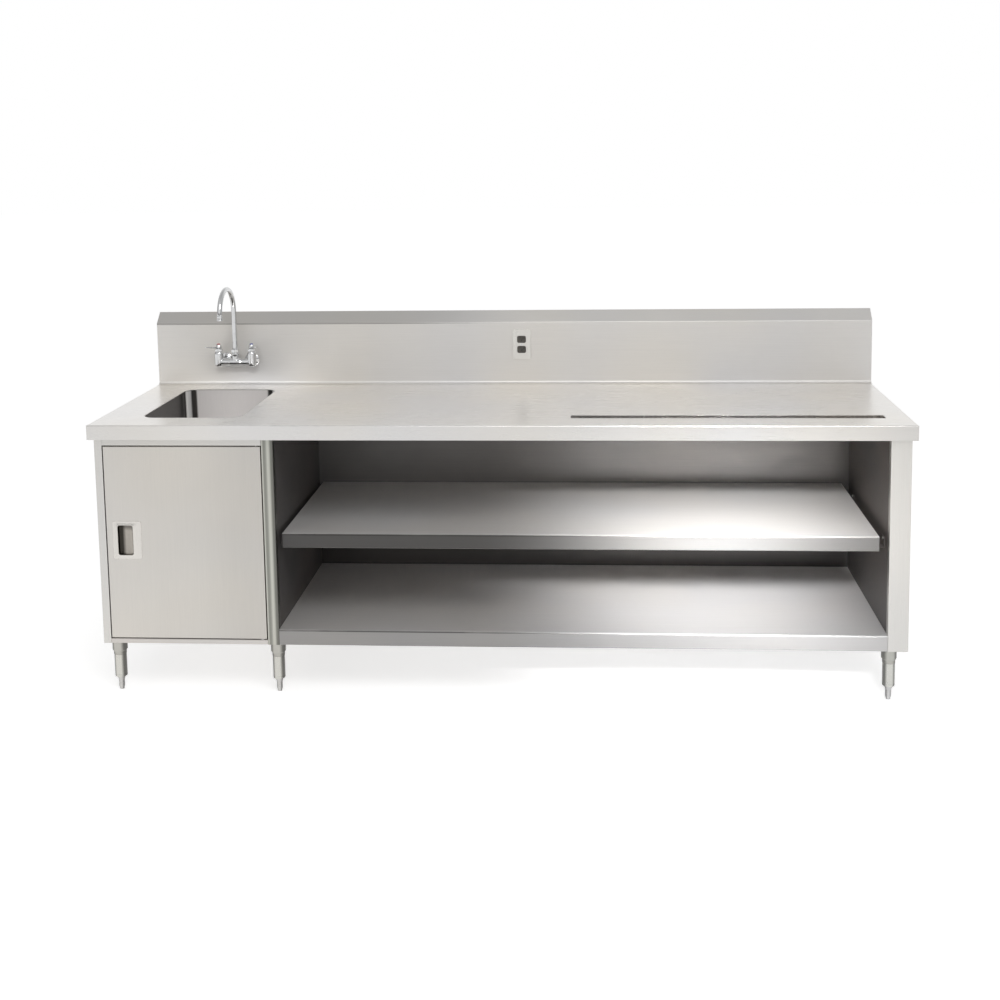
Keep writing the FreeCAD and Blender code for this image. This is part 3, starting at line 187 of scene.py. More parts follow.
def makeFloor():
    mesh = bpy.data.meshes.new("floor")
    half = studio["floorSize"] / 2
    mesh.from_pydata([(-half, -half, 0), (half, -half, 0), (half, half, 0), (-half, half, 0)],
                     [], [(0, 1, 2, 3)])
    floor = bpy.data.objects.new("floor", mesh)
    scene.collection.objects.link(floor)
    material, tree, shader = newMaterial("paleFloor")
    plug(tree, shader.inputs["Base Color"], studio["floorColour"])
    shader.inputs["Roughness"].default_value = 1
    shader.inputs["Specular IOR Level"].default_value = 0
    path = addNode(tree, "LightPath")
    seen = reckon(tree, "MAXIMUM", path.outputs["Is Camera Ray"], path.outputs["Is Glossy Ray"])
    lift = addNode(tree, "Emission",
                   {"Strength": scaled(tree, seen, studio["floorLift"])})
    both = addNode(tree, "AddShader", {0: shader.outputs[0], 1: lift.outputs[0]})
    tree.links.new(both.outputs[0], tree.nodes["Material Output"].inputs["Surface"])
    mesh.materials.append(material)


def makeWorld():
    world = bpy.data.worlds.new("studio")
    scene.world = world
    world.use_nodes = True
    tree = world.node_tree
    path = addNode(tree, "LightPath")
    place = addNode(tree, "SeparateXYZ", {0: addNode(tree, "TexCoord").outputs["Generated"]})
    start, end, shade = studio["ceiling"]
    ceiling = spread(tree, place.outputs["Z"], start, end, 1, shade)
    start, end, shade = studio["sides"]
    walls = spread(tree, reckon(tree, "ABSOLUTE", place.outputs["X"]), start, end, 1, shade)
    behind = spread(tree, place.outputs["Y"], *studio["backWall"], 1, 0)
    low = spread(tree, place.outputs["Z"], *studio["backWallTop"], 1, 0)
    dim = scaled(tree, behind, low)
    backWall = spread(tree, dim, 0, 1, 1, studio["backWallShade"])
    mirrored = scaled(tree, scaled(tree, ceiling, walls), backWall)
    strength = mixValue(tree, path.outputs["Is Glossy Ray"], studio["ambient"], mirrored)
    strength = mixValue(tree, path.outputs["Is Camera Ray"], strength, 1)
    background = tree.nodes["Background"]
    plug(tree, background.inputs["Color"], (1, 1, 1))
    tree.links.new(strength, background.inputs["Strength"])


def makeLamp(name, kind, values):
    data = bpy.data.lights.new(name, kind)
    data.energy = values["power"]
    lamp = bpy.data.objects.new(name, data)
    lamp.location = values["place"]
    heading = Vector(values["target"]) - Vector(values["place"])
    lamp.rotation_mode = "QUATERNION"
    lamp.rotation_quaternion = heading.to_track_quat("-Z", "Y")
    scene.collection.objects.link(lamp)
    return lamp, data


def makeOverhead(name, values):
    lamp, data = makeLamp(name, "AREA", values)
    data.shape = "RECTANGLE"
    data.size, data.size_y = values["size"]
    data.spread = math.radians(values["beam"])


def makeSpot(name, values):
    lamp, data = makeLamp(name, "SPOT", values)
    data.spot_size = math.radians(values["cone"])
    data.spot_blend = 1
    data.shadow_soft_size = values["softness"]
    lamp.scale = (values["widen"], 1, 1)  # makes the cone an oval


makeCamera()
makeFloor()
makeWorld()
for spotName, spotValues in spots.items():
    makeSpot(spotName, spotValues)
makeOverhead("overhead", overhead)
print("camera and light ready")

# Effects that several finishes share

effects = {  # pairs are where an effect starts and where it is full
    "fineShare": 0.45,
    "grain": (0.3, 0.7),
    "haze": (0.45, 0.75),
    "drift": (0.35, 0.65),
    "sides": (0.4, 0.75),
    "front": (-0.9, -0.5),
    "hemWidth": (0.0015, 0.0035),
    "hemShare": 0.8,
    "hemGaps": (0.38, 0.5, 0.55, 1),
    "hemFront": (-0.9, -0.2),
}


def newGroup(name, inputs, outputs):
    group = bpy.data.node_groups.new(name, "ShaderNodeTree")
    for label, value in inputs.items():
        kind = "Vector" if isinstance(value, tuple) else "Float"
        socket = group.interface.new_socket(name=label, in_out="INPUT",
                                            socket_type="NodeSocket" + kind)
        socket.default_value = value
    for label, kind in outputs.items():
        group.interface.new_socket(name=label, in_out="OUTPUT", socket_type="NodeSocket" + kind)
    given = group.nodes.new("NodeGroupInput").outputs
    result = group.nodes.new("NodeGroupOutput").inputs
    return group, given, result


def placeGroup(tree, group, values):
    made = tree.nodes.new("ShaderNodeGroup")
    made.node_tree = group
    for key, value in values.items():
        plug(tree, made.inputs[key], value)
    return made.outputs


def brushGrainGroup():
    group, given, result = newGroup("brushGrain", {"Stretch": (2, 200, 200), "Fineness": 3.3},
                                    {"Streak": "Float", "Height": "Float"})
    spot = addNode(group, "TexCoord").outputs["Object"]
    drawn = addNode(group, "VectorMath", {0: spot, 1: given["Stretch"]},
                    operation="MULTIPLY").outputs[0]
    coarse = noise(group, 1, 3, drawn, Roughness=0.7)
    fine = noise(group, given["Fineness"], 2, drawn, Roughness=0.6)
    streak = mixValue(group, effects["fineShare"], coarse, fine)
    plug(group, result["Streak"], spread(group, streak, *effects["grain"], 0, 1))
    plug(group, result["Height"], streak)
    return group


# lighter edges: partly rubbed wear, partly a painted highlight along folds and rims
def edgeWearAndSheenGroup():
    group, given, result = newGroup("edgeWearAndSheen", {"Radius": 0.002, "Gain": 6},
                                    {"WearAndSheen": "Float", "Rounded": "Vector"})
    rounded = addNode(group, "Bevel", {"Radius": given["Radius"]}, samples=4).outputs[0]
    flat = addNode(group, "NewGeometry").outputs["True Normal"]
    along = addNode(group, "VectorMath", {0: rounded, 1: flat}, operation="DOT_PRODUCT")
    turned = reckon(group, "SUBTRACT", 1, along.outputs["Value"])
    edgeWearSheen = scaled(group, turned, given["Gain"])
    plug(group, result["WearAndSheen"], reckon(group, "MINIMUM", edgeWearSheen, 1))
    plug(group, result["Rounded"], rounded)
    return group


def handMarksGroup():
    group, given, result = newGroup("handMarks", {"Scale": 5, "Amount": 0.5}, {"Haze": "Float"})
    cloud = noise(group, given["Scale"], 5, Roughness=0.62, Distortion=0.8)
    haze = spread(group, cloud, *effects["haze"], 0, 1)
    plug(group, result["Haze"], scaled(group, haze, given["Amount"]))
    return group


def sheetWaveGroup():
    group, given, result = newGroup("sheetWave", {"Scale": 2.2},
                                    {"Height": "Float", "Drift": "Float"})
    wave = noise(group, given["Scale"], 1, Roughness=0.4)
    plug(group, result["Height"], wave)
    plug(group, result["Drift"], spread(group, wave, *effects["drift"], 0, 1))
    return group


def sideShadeGroup():  # paints shade on a round piece towards its left and right outline
    group, given, result = newGroup("sideShade", {"Amount": 0.5}, {"Shade": "Float"})
    aside = reckon(group, "ABSOLUTE", axisOf(group, "Normal", "X"))
    plug(group, result["Shade"], spread(group, aside, *effects["sides"], 0, given["Amount"]))
    return group


def shadingBandGroup():  # painted light and shade: a tone that drifts along a front face, through three places
    group, given, result = newGroup(
        "shadingBand", {"Start": -1, "Middle": 0, "End": 1, "Start Tone": 1, "Middle Tone": 1,
                       "End Tone": 1, "Split": -1, "Below": 1, "Front Start": -1},
        {"Tone": "Float", "Front": "Float"})
    across, rise = axisOf(group, "Object", "X"), axisOf(group, "Object", "Z")
    first = spread(group, across, given["Start"], given["Middle"], given["Start Tone"],
                   given["Middle Tone"], "SMOOTHSTEP")
    change = reckon(group, "SUBTRACT", given["End Tone"], given["Middle Tone"])
    second = spread(group, across, given["Middle"], given["End"], 0, change, "SMOOTHSTEP")
    tone = reckon(group, "ADD", first, second)
    under = reckon(group, "LESS_THAN", rise, given["Split"])
    tone = scaled(group, tone, mixValue(group, under, 1, given["Below"]))
    front = spread(group, axisOf(group, "Normal", "Y"), *effects["front"], 1, 0)
    plug(group, result["Tone"], mixValue(group, front, 1, tone))
    above = reckon(group, "GREATER_THAN", rise, given["Front Start"])
    plug(group, result["Front"], scaled(group, front, above))
    return group


def hemShadowLineGroup():  # painted shadow: the broken dark line in the crease under the bend of a shelf, fading to the right
    group, given, result = newGroup("hemShadowLine", {"Height": 0, "Start": 0, "End": 1},
                                    {"Line": "Float"})
    above = reckon(group, "SUBTRACT", axisOf(group, "Object", "Z"), given["Height"])
    line = spread(group, reckon(group, "ABSOLUTE", above), *effects["hemWidth"], 1, 0)
    fade = spread(group, axisOf(group, "Object", "X"), given["Start"], given["End"],
                  effects["hemShare"], 0)
    broken = spread(group, noise(group, 4, 3), *effects["hemGaps"])
    front = spread(group, axisOf(group, "Normal", "Y"), *effects["hemFront"], 1, 0)
    shown = scaled(group, scaled(group, line, fade), broken)
    plug(group, result["Line"], scaled(group, shown, front))
    return group


brushGrain = brushGrainGroup()
edgeWearAndSheen = edgeWearAndSheenGroup()
handMarks = handMarksGroup()
sheetWave = sheetWaveGroup()
sideShade = sideShadeGroup()
shadingBand = shadingBandGroup()
hemShadowLine = hemShadowLineGroup()

# Steel finishes

alongX = (4, 420, 420)
alongZ = (420, 420, 4)
plainSteel = {"grain": alongZ, "streak": 0.3, "rough": 0.3, "metal": 0.88, "wave": 0.003,
              "cut": 0.00008, "wearAndSheen": 0.5}
steelFinishes = {  # what differs from plainSteel
    "deckSteel": {
        "warm": (0.84, 0.812, 0.768), "cool": (0.80, 0.79, 0.783), "grain": alongX,
        "rough": 0.28, "metal": 0.86, "wave": 0.0035, "cut": 0.00004, "streak": 0.2,
        # painted shade on the sloped return above Split, darker towards the left
        "slope": {"places": (-0.5, 0.1, 1.3), "tones": (0.52, 1, 1),
                  "limits": {"Split": 1.188, "Below": 10}},
        # painted shade on the front faces, a little darker to the right; the splash face is also
        # rougher
        "paintedShading": {"places": (-1.3, 0.1, 1.3), "tones": (0.87, 0.84, 0.80),
                   "limits": {"Front Start": 0.96}, "rougher": 0.22}},
    "splashEndSteel": {
        "warm": (0.72, 0.70, 0.67), "cool": (0.68, 0.675, 0.67), "wave": 0.002, "cut": 0.00006,
        "wearAndSheen": 0.4},
    "doorSteel": {
        "warm": (0.67, 0.635, 0.58), "cool": (0.635, 0.615, 0.585), "rough": 0.34,
        "metal": 0.85, "cut": 0.00006,
        # painted shade, darker towards the right of the door
        "paintedShading": {"places": (-1.33, -1.06, -0.82), "tones": (1, 0.96, 0.86)}},
    "postSteel": {
        "warm": (0.62, 0.60, 0.56), "cool": (0.55, 0.56, 0.52), "wave": 0.002, "cut": 0.00005,
        "wearAndSheen": 0.3},
    "midShelfSteel": {
        "warm": (0.80, 0.775, 0.75), "cool": (0.76, 0.75, 0.745), "grain": alongX,
        "rough": 0.42, "metal": 0.36,
        # painted shade on the flange, near black at the left, with painted light round the lamp's
        # spot
        "paintedShading": {"places": (-0.1, 0.72, 1.27), "tones": (0.07, 0.36, 0.2)},
        "hem": {"Height": 0.5665, "Start": 0.1, "End": 0.75}},
    "bottomShelfSteel": {
        "warm": (0.72, 0.695, 0.67), "cool": (0.67, 0.66, 0.66), "grain": alongX,
        "rough": 0.42, "metal": 0.4,
        # painted shade on the flange, lighter towards the right
        "paintedShading": {"places": (-0.3, 0.5, 1.3), "tones": (0.5, 0.52, 0.8)},
        "hem": {"Height": 0.239, "Start": -0.1, "End": 0.5}},
    "cabinetSteel": {
        "warm": (0.66, 0.62, 0.58), "cool": (0.62, 0.60, 0.58), "grain": alongX, "rough": 0.36,
        "metal": 0.8},
    "backSteel": {
        "warm": (0.66, 0.63, 0.61), "cool": (0.62, 0.605, 0.595), "grain": alongX,
        "rough": 0.46, "metal": 0.9, "wearAndSheen": 0.3,
        # painted shade on the inner face, deeper below the mid shelf
        "paintedShading": {"places": (-0.6, 0.4, 1.2), "tones": (0.24, 0.22, 0.22),
                   "limits": {"Split": 0.545, "Below": 0.3}}},
    # painted shade: liners inside the bay and hidden channels get a dark steel tone that stands
    # for their shade
    "linerShadeSteel": {
        "warm": (0.20, 0.178, 0.165), "cool": (0.155, 0.15, 0.15), "grain": alongX, "rough": 0.5,
        "metal": 0.7, "wearAndSheen": 0.3},
    "bowlSteel": {
        "warm": (0.56, 0.53, 0.50), "cool": (0.50, 0.49, 0.49), "rough": 0.2, "metal": 0.95,
        "cut": 0.00003, "wearAndSheen": 0.4},
    # sides: how strongly the painted side shade darkens the round pieces below
    "legSteel": {
        "warm": (0.64, 0.62, 0.57), "cool": (0.58, 0.58, 0.55), "sides": 0.8, "rough": 0.24,
        "metal": 0.95, "wave": 0.0005, "cut": 0.00003, "wearAndSheen": 0.4},
    "socketSteel": {
        "warm": (0.52, 0.50, 0.46), "cool": (0.46, 0.46, 0.43), "sides": 0.75, "rough": 0.36,
        "metal": 0.92, "wave": 0.0003, "cut": 0.00003, "wearAndSheen": 0.4},
    "turnedSteel": {
        "warm": (0.60, 0.58, 0.55), "cool": (0.55, 0.55, 0.55), "sides": 0.6,
        "grain": (30, 30, 900), "rough": 0.28, "metal": 0.97, "wave": 0.0002, "cut": 0.00002,
        "wearAndSheen": 0.4},
    "endSteel": {
        "warm": (0.68, 0.66, 0.625), "cool": (0.64, 0.63, 0.61), "wave": 0.002, "cut": 0.00005},
    "railSteel": {
        "warm": (0.66, 0.64, 0.60), "cool": (0.62, 0.61, 0.59), "grain": alongX, "wave": 0.001,
        "cut": 0.00005},
    "pullSteel": {
        "warm": (0.70, 0.665, 0.61), "cool": (0.67, 0.65, 0.62), "rough": 0.24, "metal": 0.93,
        "wave": 0.0002, "cut": 0.00003, "wearAndSheen": 0.7},
    "plateSteel": {
        "warm": (0.74, 0.72, 0.68), "cool": (0.70, 0.69, 0.67), "rough": 0.27, "metal": 0.9,
        "wave": 0.0002, "cut": 0.00004},
}
steelLook = {
    "edge": {"Radius": 0.0016, "Gain": 5},
    "marks": {"Scale": 4.5, "Amount": 0.6},
    "waves": {"Scale": 2.2},
    "lighter": 1.12,
    "lightest": 0.9,
    "darker": 0.86,
    "smoothest": -0.05,
    "roughest": 0.07,
    "marksRough": 0.09,
    "shadow": (0.03, 0.028, 0.026),
    # the colour of the painted side shade
    "outline": (0.02, 0.02, 0.018),
    "hemShadow": (0.02, 0.018, 0.016),
}


def roughAndBump(tree, shader, rough, height, rounded):
    plug(tree, shader.inputs["Roughness"], rough)
    bump = addNode(tree, "Bump", {"Height": height, "Distance": 1, "Strength": 1,
                                  "Normal": rounded})
    plug(tree, shader.inputs["Normal"], bump.outputs[0])


def placeShadingBand(tree, band):
    given = {}
    for label, place, tone in zip(("Start", "Middle", "End"), band["places"], band["tones"]):
        given[label] = place
        given[label + " Tone"] = tone
    return placeGroup(tree, shadingBand, {**given, **band.get("limits", {})})


def steelMaterial(name, values):
    material, tree, shader = newMaterial(name)
    values = {**plainSteel, **values}
    look = steelLook
    warm, cool = values["warm"], values["cool"]
    grain = placeGroup(tree, brushGrain, {"Stretch": values["grain"]})
    edgeWearSheen = placeGroup(tree, edgeWearAndSheen, look["edge"])
    haze = placeGroup(tree, handMarks, look["marks"])["Haze"]
    wave = placeGroup(tree, sheetWave, look["waves"])
    base = mixColour(tree, wave["Drift"], warm, cool)
    lighter = [min(part * look["lighter"], look["lightest"]) for part in warm]
    darker = [part * look["darker"] for part in cool]
    base = mixColour(tree, scaled(tree, grain["Streak"], values["streak"]), base, darker)
    # edges lighter from wear and a painted highlight
    base = mixColour(tree, scaled(tree, edgeWearSheen["WearAndSheen"], values["wearAndSheen"]), base, lighter)
    # painted shade: round pieces darken towards their left and right sides
    if "sides" in values:
        shade = placeGroup(tree, sideShade, {"Amount": values["sides"]})["Shade"]
        base = mixColour(tree, shade, base, look["outline"])
    rough = mixValue(tree, grain["Streak"], values["rough"] + look["smoothest"],
                     values["rough"] + look["roughest"])
    rough = reckon(tree, "ADD", rough, scaled(tree, haze, look["marksRough"]))
    # painted light and shade: front faces mix towards the shadow tint along each band
    for band in [values[key] for key in ("slope", "paintedShading") if key in values]:
        bandShading = placeShadingBand(tree, band)
        base = mixColour(tree, bandShading["Tone"], look["shadow"], base)
        if "rougher" in band:
            rough = reckon(tree, "ADD", rough, scaled(tree, bandShading["Front"], band["rougher"]))
    # painted shadow line under the bend of the shelf
    if "hem" in values:
        line = placeGroup(tree, hemShadowLine, values["hem"])["Line"]
        base = mixColour(tree, line, base, look["hemShadow"])
    plug(tree, shader.inputs["Base Color"], base)
    shader.inputs["Metallic"].default_value = values["metal"]
    height = reckon(tree, "ADD", scaled(tree, grain["Height"], values["cut"]),
                    scaled(tree, wave["Height"], values["wave"]))
    roughAndBump(tree, shader, rough, height, edgeWearSheen["Rounded"])
    return material


finishes = {name: steelMaterial(name, values) for name, values in steelFinishes.items()}

post = {
    "left": -0.7855,
    "right": -0.7455,
    "stripes": [(0, 1.0), (0.08, 0.95), (0.2, 0.42), (0.36, 0.5), (0.52, 0.92), (0.66, 0.85),
                (0.8, 0.35), (0.93, 0.3), (1, 0.22)],
    "yellower": 0.97,
}


def stripePost():  # painted light and shade: the folds of the centre post get light and dark stripes
    tree = finishes["postSteel"].node_tree
    shader = tree.nodes["Principled BSDF"]
    plain = shader.inputs["Base Color"].links[0].from_socket
    share = spread(tree, axisOf(tree, "Object", "X"), post["left"], post["right"], 0, 1)
    stops = [(place, (tone, tone, tone * post["yellower"])) for place, tone in post["stripes"]]
    striped = mixColour(tree, 1, plain, colourRamp(tree, share, stops), "MULTIPLY")
    plug(tree, shader.inputs["Base Color"], striped)


bowl = {
    "wall": (0.66, 0.63, 0.615),
    "paintedShade": (0.04, 0.037, 0.034),
    "paintedHighlight": (0.95, 0.94, 0.92),
    "floor": (0.40, 0.385, 0.37),
    "streak": (0.3, 0.29, 0.28),
    "streakShare": 0.15,
    "wallMetal": 0.15,
    "darkMetal": 0.5,
    "gloss": 0.3,
    "floorTurn": (0.3, 0.9),
    "metalTurn": (0.1, 0.3),
    "turns": [(0, "wall"), (0.1, "wall"), (0.22, "paintedShade"), (0.55, "paintedShade"), (0.68, "paintedHighlight"),
              (0.9, "paintedHighlight"), (0.965, "paintedShade"), (1, "paintedShade")],
}


def bowlMaterial():  # painted shade on the side walls and a painted highlight in the corners, as the wall turns round them
    material = finishes["bowlSteel"].copy()
    material.name = "sinkBowlSteel"
    tree = material.node_tree
    shader = tree.nodes["Principled BSDF"]
    aside = reckon(tree, "ABSOLUTE", axisOf(tree, "Normal", "X"))
    level = reckon(tree, "ABSOLUTE", axisOf(tree, "Normal", "Z"))
    grain = placeGroup(tree, brushGrain, {"Stretch": alongZ})["Streak"]
    # painted shade and highlight by how far the wall faces sideways; the floor has its own tone
    walls = colourRamp(tree, aside, [(place, bowl[tone]) for place, tone in bowl["turns"]])
    colour = mixColour(tree, spread(tree, level, *bowl["floorTurn"], 0, 1), walls, bowl["floor"])
    colour = mixColour(tree, scaled(tree, grain, bowl["streakShare"]), colour, bowl["streak"])
    plug(tree, shader.inputs["Base Color"], colour)
    shader.inputs["Specular IOR Level"].default_value = bowl["gloss"]
    metal = spread(tree, aside, *bowl["metalTurn"], bowl["wallMetal"], bowl["darkMetal"])
    plug(tree, shader.inputs["Metallic"], metal)
    return material


stripePost()
finishes["sinkBowlSteel"] = bowlMaterial()

# Chrome, brass, rubber and plastic

plastic = {"markedShare": 1, "rough": 0.28, "marks": {"Scale": 45, "Amount": 0.7},
           "marksRough": 0.12, "edge": {"Radius": 0.0006, "Gain": 4}, "bareShare": 0.5,
           "pores": 1400, "relief": 0.00002}
smallFinishes = {
    "chromePlate": {
        "colour": (0.66, 0.665, 0.67), "marked": (0.50, 0.50, 0.50), "markedShare": 0.4,
        "metal": 1, "rough": 0.06, "marks": {"Scale": 26, "Amount": 1}, "marksRough": 0.14,
        "edge": {"Radius": 0.0007, "Gain": 3}, "waves": 60, "relief": 0.00004},
    "plainBrass": {
        "colour": (0.66, 0.46, 0.19), "marked": (0.30, 0.19, 0.08), "markedShare": 1,
        "metal": 1, "rough": 0.34, "roughSpread": 0.08, "marks": {"Scale": 38, "Amount": 0.9},
        "marksRough": 0.2, "edge": {"Radius": 0.0008, "Gain": 4}, "bare": (0.8, 0.6, 0.3),
        "bareShare": 0.6, "grain": (60, 60, 1500), "relief": 0.00003},
    "softRubber": {**plastic, "colour": (0.016, 0.016, 0.017), "marked": (0.05, 0.05, 0.05),
                   "rough": 0.75},
    "hotButton": {**plastic, "colour": (0.45, 0.02, 0.015), "marked": (0.25, 0.02, 0.015)},
    "coldButton": {**plastic, "colour": (0.015, 0.06, 0.38), "marked": (0.01, 0.04, 0.22)},
    "outletPlastic": {**plastic, "colour": (0.085, 0.078, 0.068),
                      "marked": (0.05, 0.046, 0.04), "rough": 0.42},
    "blackPlastic": {**plastic, "colour": (0.035, 0.034, 0.033), "marked": (0.08, 0.075, 0.07),
                     "rough": 0.5},
}
barer = 1.5  # how much lighter the edges, rubbed and given a painted highlight, are where no bare colour is given


def smallMaterial(name, values):
    material, tree, shader = newMaterial(name)
    colour, rough = values["colour"], values["rough"]
    haze = placeGroup(tree, handMarks, values["marks"])["Haze"]
    edgeWearSheen = placeGroup(tree, edgeWearAndSheen, values["edge"])
    base = mixColour(tree, scaled(tree, haze, values["markedShare"]), colour, values["marked"])
    if "bareShare" in values:
        bare = values.get("bare", [part * barer for part in colour])
        # edges turn to the lighter bare colour: wear and a painted highlight
        base = mixColour(tree, scaled(tree, edgeWearSheen["WearAndSheen"], values["bareShare"]), base, bare)
    plug(tree, shader.inputs["Base Color"], base)
    shader.inputs["Metallic"].default_value = values.get("metal", 0)
    if "grain" in values:
        grain = placeGroup(tree, brushGrain, {"Stretch": values["grain"]})
        height = grain["Height"]
        rough = mixValue(tree, grain["Streak"], rough - values["roughSpread"],
                         rough + values["roughSpread"])
    elif "waves" in values:
        height = placeGroup(tree, sheetWave, {"Scale": values["waves"]})["Height"]
    else:
        height = noise(tree, values["pores"], 2)
    rough = reckon(tree, "ADD", rough, scaled(tree, haze, values["marksRough"]))
    roughAndBump(tree, shader, rough, scaled(tree, height, values["relief"]), edgeWearSheen["Rounded"])
    return material


finishes.update({name: smallMaterial(name, values) for name, values in smallFinishes.items()})
print("finishes ready:", len(finishes))

# Shapes that the pieces are made from

nut = {"sides": 72, "slope": 0.55, "chamfer": (0, 0.25, 0.5, 0.75, 1)}


def middleOf(node):
    low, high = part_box(node)
    return (low + high) / 2


def raised(rows, height):
    return [(radius, level + height) for radius, level in rows]


def thread(values, start, end):  # crests and roots of a screw thread
    radius, depth, pitch = values
    rows = []
    height = start
    while height + pitch < end:
        rows += [(radius, height), (radius - depth, height + pitch / 2)]
        height += pitch
    return rows


def turnsOf(sides):
    return [2 * math.pi * step / sides for step in range(sides)]


def circle(radius, sides):
    if not radius:
        return [(0, 0)]
    return [(radius * math.cos(turn), radius * math.sin(turn)) for turn in turnsOf(sides)]


def cutHexagon(flat, cone):  # a hexagon whose corners a cone cuts off
    spots = []
    for turn in turnsOf(nut["sides"]):
        fromFlat = (turn + math.pi / 6) % (math.pi / 3) - math.pi / 6
        reach = min(flat / math.cos(fromFlat), cone)
        spots.append((reach * math.cos(turn), reach * math.sin(turn)))
    return spots


def softRectangle(halfWide, halfHigh, corner, steps=10):
    spots = []
    for turn, (sideX, sideY) in enumerate(((1, 1), (-1, 1), (-1, -1), (1, -1))):
        for step in range(steps + 1):
            angle = math.pi / 2 * (turn + step / steps)
            spots.append((sideX * (halfWide - corner) + corner * math.cos(angle),
                          sideY * (halfHigh - corner) + corner * math.sin(angle)))
    return spots


def standing(spot, centre, along):
    across, deep, high = spot
    if along == "Y":
        across, deep, high = across, high, -deep
    elif along == "X":
        across, deep, high = high, deep, -across
    return (centre[0] + across, centre[1] + deep, centre[2] + high)


def ringAt(mesh, spots, place):
    return [mesh.verts.new(place(across, deep)) for across, deep in spots]


def joinRings(mesh, rings, closed=False):  # a ring of one vertex ends the skin in a point
    pairs = list(zip(rings, rings[1:]))
    if closed:
        pairs.append((rings[-1], rings[0]))
    for low, high in pairs:
        count = max(len(low), len(high))
        if count == 1:
            continue
        for k in range(count):
            after = (k + 1) % count
            if len(low) == 1:
                mesh.faces.new((low[0], high[after], high[k]))
            elif len(high) == 1:
                mesh.faces.new((low[k], low[after], high[0]))
            else:
                mesh.faces.new((low[k], low[after], high[after], high[k]))


def closeEnds(mesh, rings):
    for ring in (rings[0], rings[-1]):
        mesh.faces.new(ring)


def stack(mesh, levels, centre, along="Z", closed=False):
    rings = [ringAt(mesh, spots, lambda across, deep, level=height: standing(
        (across, deep, level), centre, along)) for spots, height in levels]
    joinRings(mesh, rings, closed)
    return rings


def turned(mesh, profile, centre, along="Z", sides=48, closed=False):
    levels = [(circle(radius, sides), height) for radius, height in profile]
    stack(mesh, levels, centre, along, closed)


def hexNut(mesh, centre, corner, low, high, bore, along="Z"):
    flat = corner * math.cos(math.pi / 6)
    run = (corner - flat) * nut["slope"]
    heights = [low + run * share for share in nut["chamfer"]]
    heights += [high - run * share for share in reversed(nut["chamfer"])]
    levels = [(circle(bore, nut["sides"]), low)]
    for height in heights:
        cone = flat + min(height - low, high - height) / nut["slope"]
        levels.append((cutHexagon(flat, cone), height))
    levels.append((circle(bore, nut["sides"]), high))
    stack(mesh, levels, centre, along, True)


def sweptTube(mesh, path, sides):  # path holds a place and a radius for each ring
    spots = [spot for spot, radius in path]
    rings = []
    side = Vector((1, 0, 0))
    for (spot, radius), before, after in zip(path, spots[:1] + spots, spots[1:] + spots[-1:]):
        up = side.cross((after - before).normalized())
        rings.append([mesh.verts.new(spot + side * across + up * rise)
                      for across, rise in circle(radius, sides)])
    joinRings(mesh, rings)
    closeEnds(mesh, rings)


def finishPiece(name, mesh, finish, body, replaced, crease=32):
    bmesh.ops.recalc_face_normals(mesh, faces=mesh.faces)
    data = bpy.data.meshes.new(name)
    mesh.to_mesh(data)
    mesh.free()
    data.polygons.foreach_set("use_smooth", [True] * len(data.polygons))
    data.set_sharp_from_angle(angle=math.radians(crease))
    for entry in (finish if isinstance(finish, tuple) else (finish,)):
        data.materials.append(finishes[entry])
    piece = bpy.data.objects.new(name, data)
    scene.collection.objects.link(piece)
    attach(piece, body)
    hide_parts(*replaced)
    return piece


# Sink bowl

sink = {
    "sheet": 0.0015,
    "edgeDrop": 0.001,
    "corner": 0.045,
    "leastCorner": 0.012,
    "floorRadius": 0.028,
    "bendSteps": 8,
    "fall": 0.003,
    "taper": 0.004,
    "wallShares": (0, 0.5, 1),
    "drainHole": 0.044,
    "floorShares": (0.35, 0.7, 0.9, 1),
    "leastTurn": 0.002,
}


def bowlLevels(low, high, inset):  # how far each ring draws in, its corner and its height
    corner, bend, taper = sink["corner"] - inset, sink["floorRadius"], sink["taper"]
    levels = []
    for share in sink["wallShares"]:
        height = high.z - sink["edgeDrop"] - (high.z - low.z - bend) * share
        levels.append((taper * share, corner, height))
    radius = bend - inset
    for step in range(1, sink["bendSteps"] + 1):
        angle = math.pi / 2 * step / sink["bendSteps"]
        drawn = radius * (1 - math.cos(angle))
        height = low.z + inset + sink["fall"] + radius * (1 - math.sin(angle))
        levels.append((taper + drawn, max(corner - drawn, sink["leastCorner"]), height))
    return levels


def bowlSkin(mesh, inset):
    low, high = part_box("sink_bowl")
    middle = middleOf("sink_bowl")
    hub = middleOf("sink_drain_body").xy
    halfWide, halfDeep = (high.x - low.x) / 2 - inset, (high.y - low.y) / 2 - inset
    walls = stack(mesh, [(softRectangle(halfWide - drawn, halfDeep - drawn, corner), height)
                         for drawn, corner, height in bowlLevels(low, high, inset)],
                  (middle.x, middle.y, 0))
    edge = [vert.co.xy for vert in walls[-1]]
    rings = walls[-1:]
    for share in sink["floorShares"]:
        height = low.z + inset + sink["fall"] * (1 - share)
        ring = []
        for spot in edge:
            rim = hub + (spot - hub).normalized() * sink["drainHole"]
            ring.append(mesh.verts.new((*spot.lerp(rim, share), height)))
        rings.append(ring)
    joinRings(mesh, rings)
    return walls[0], rings[-1]


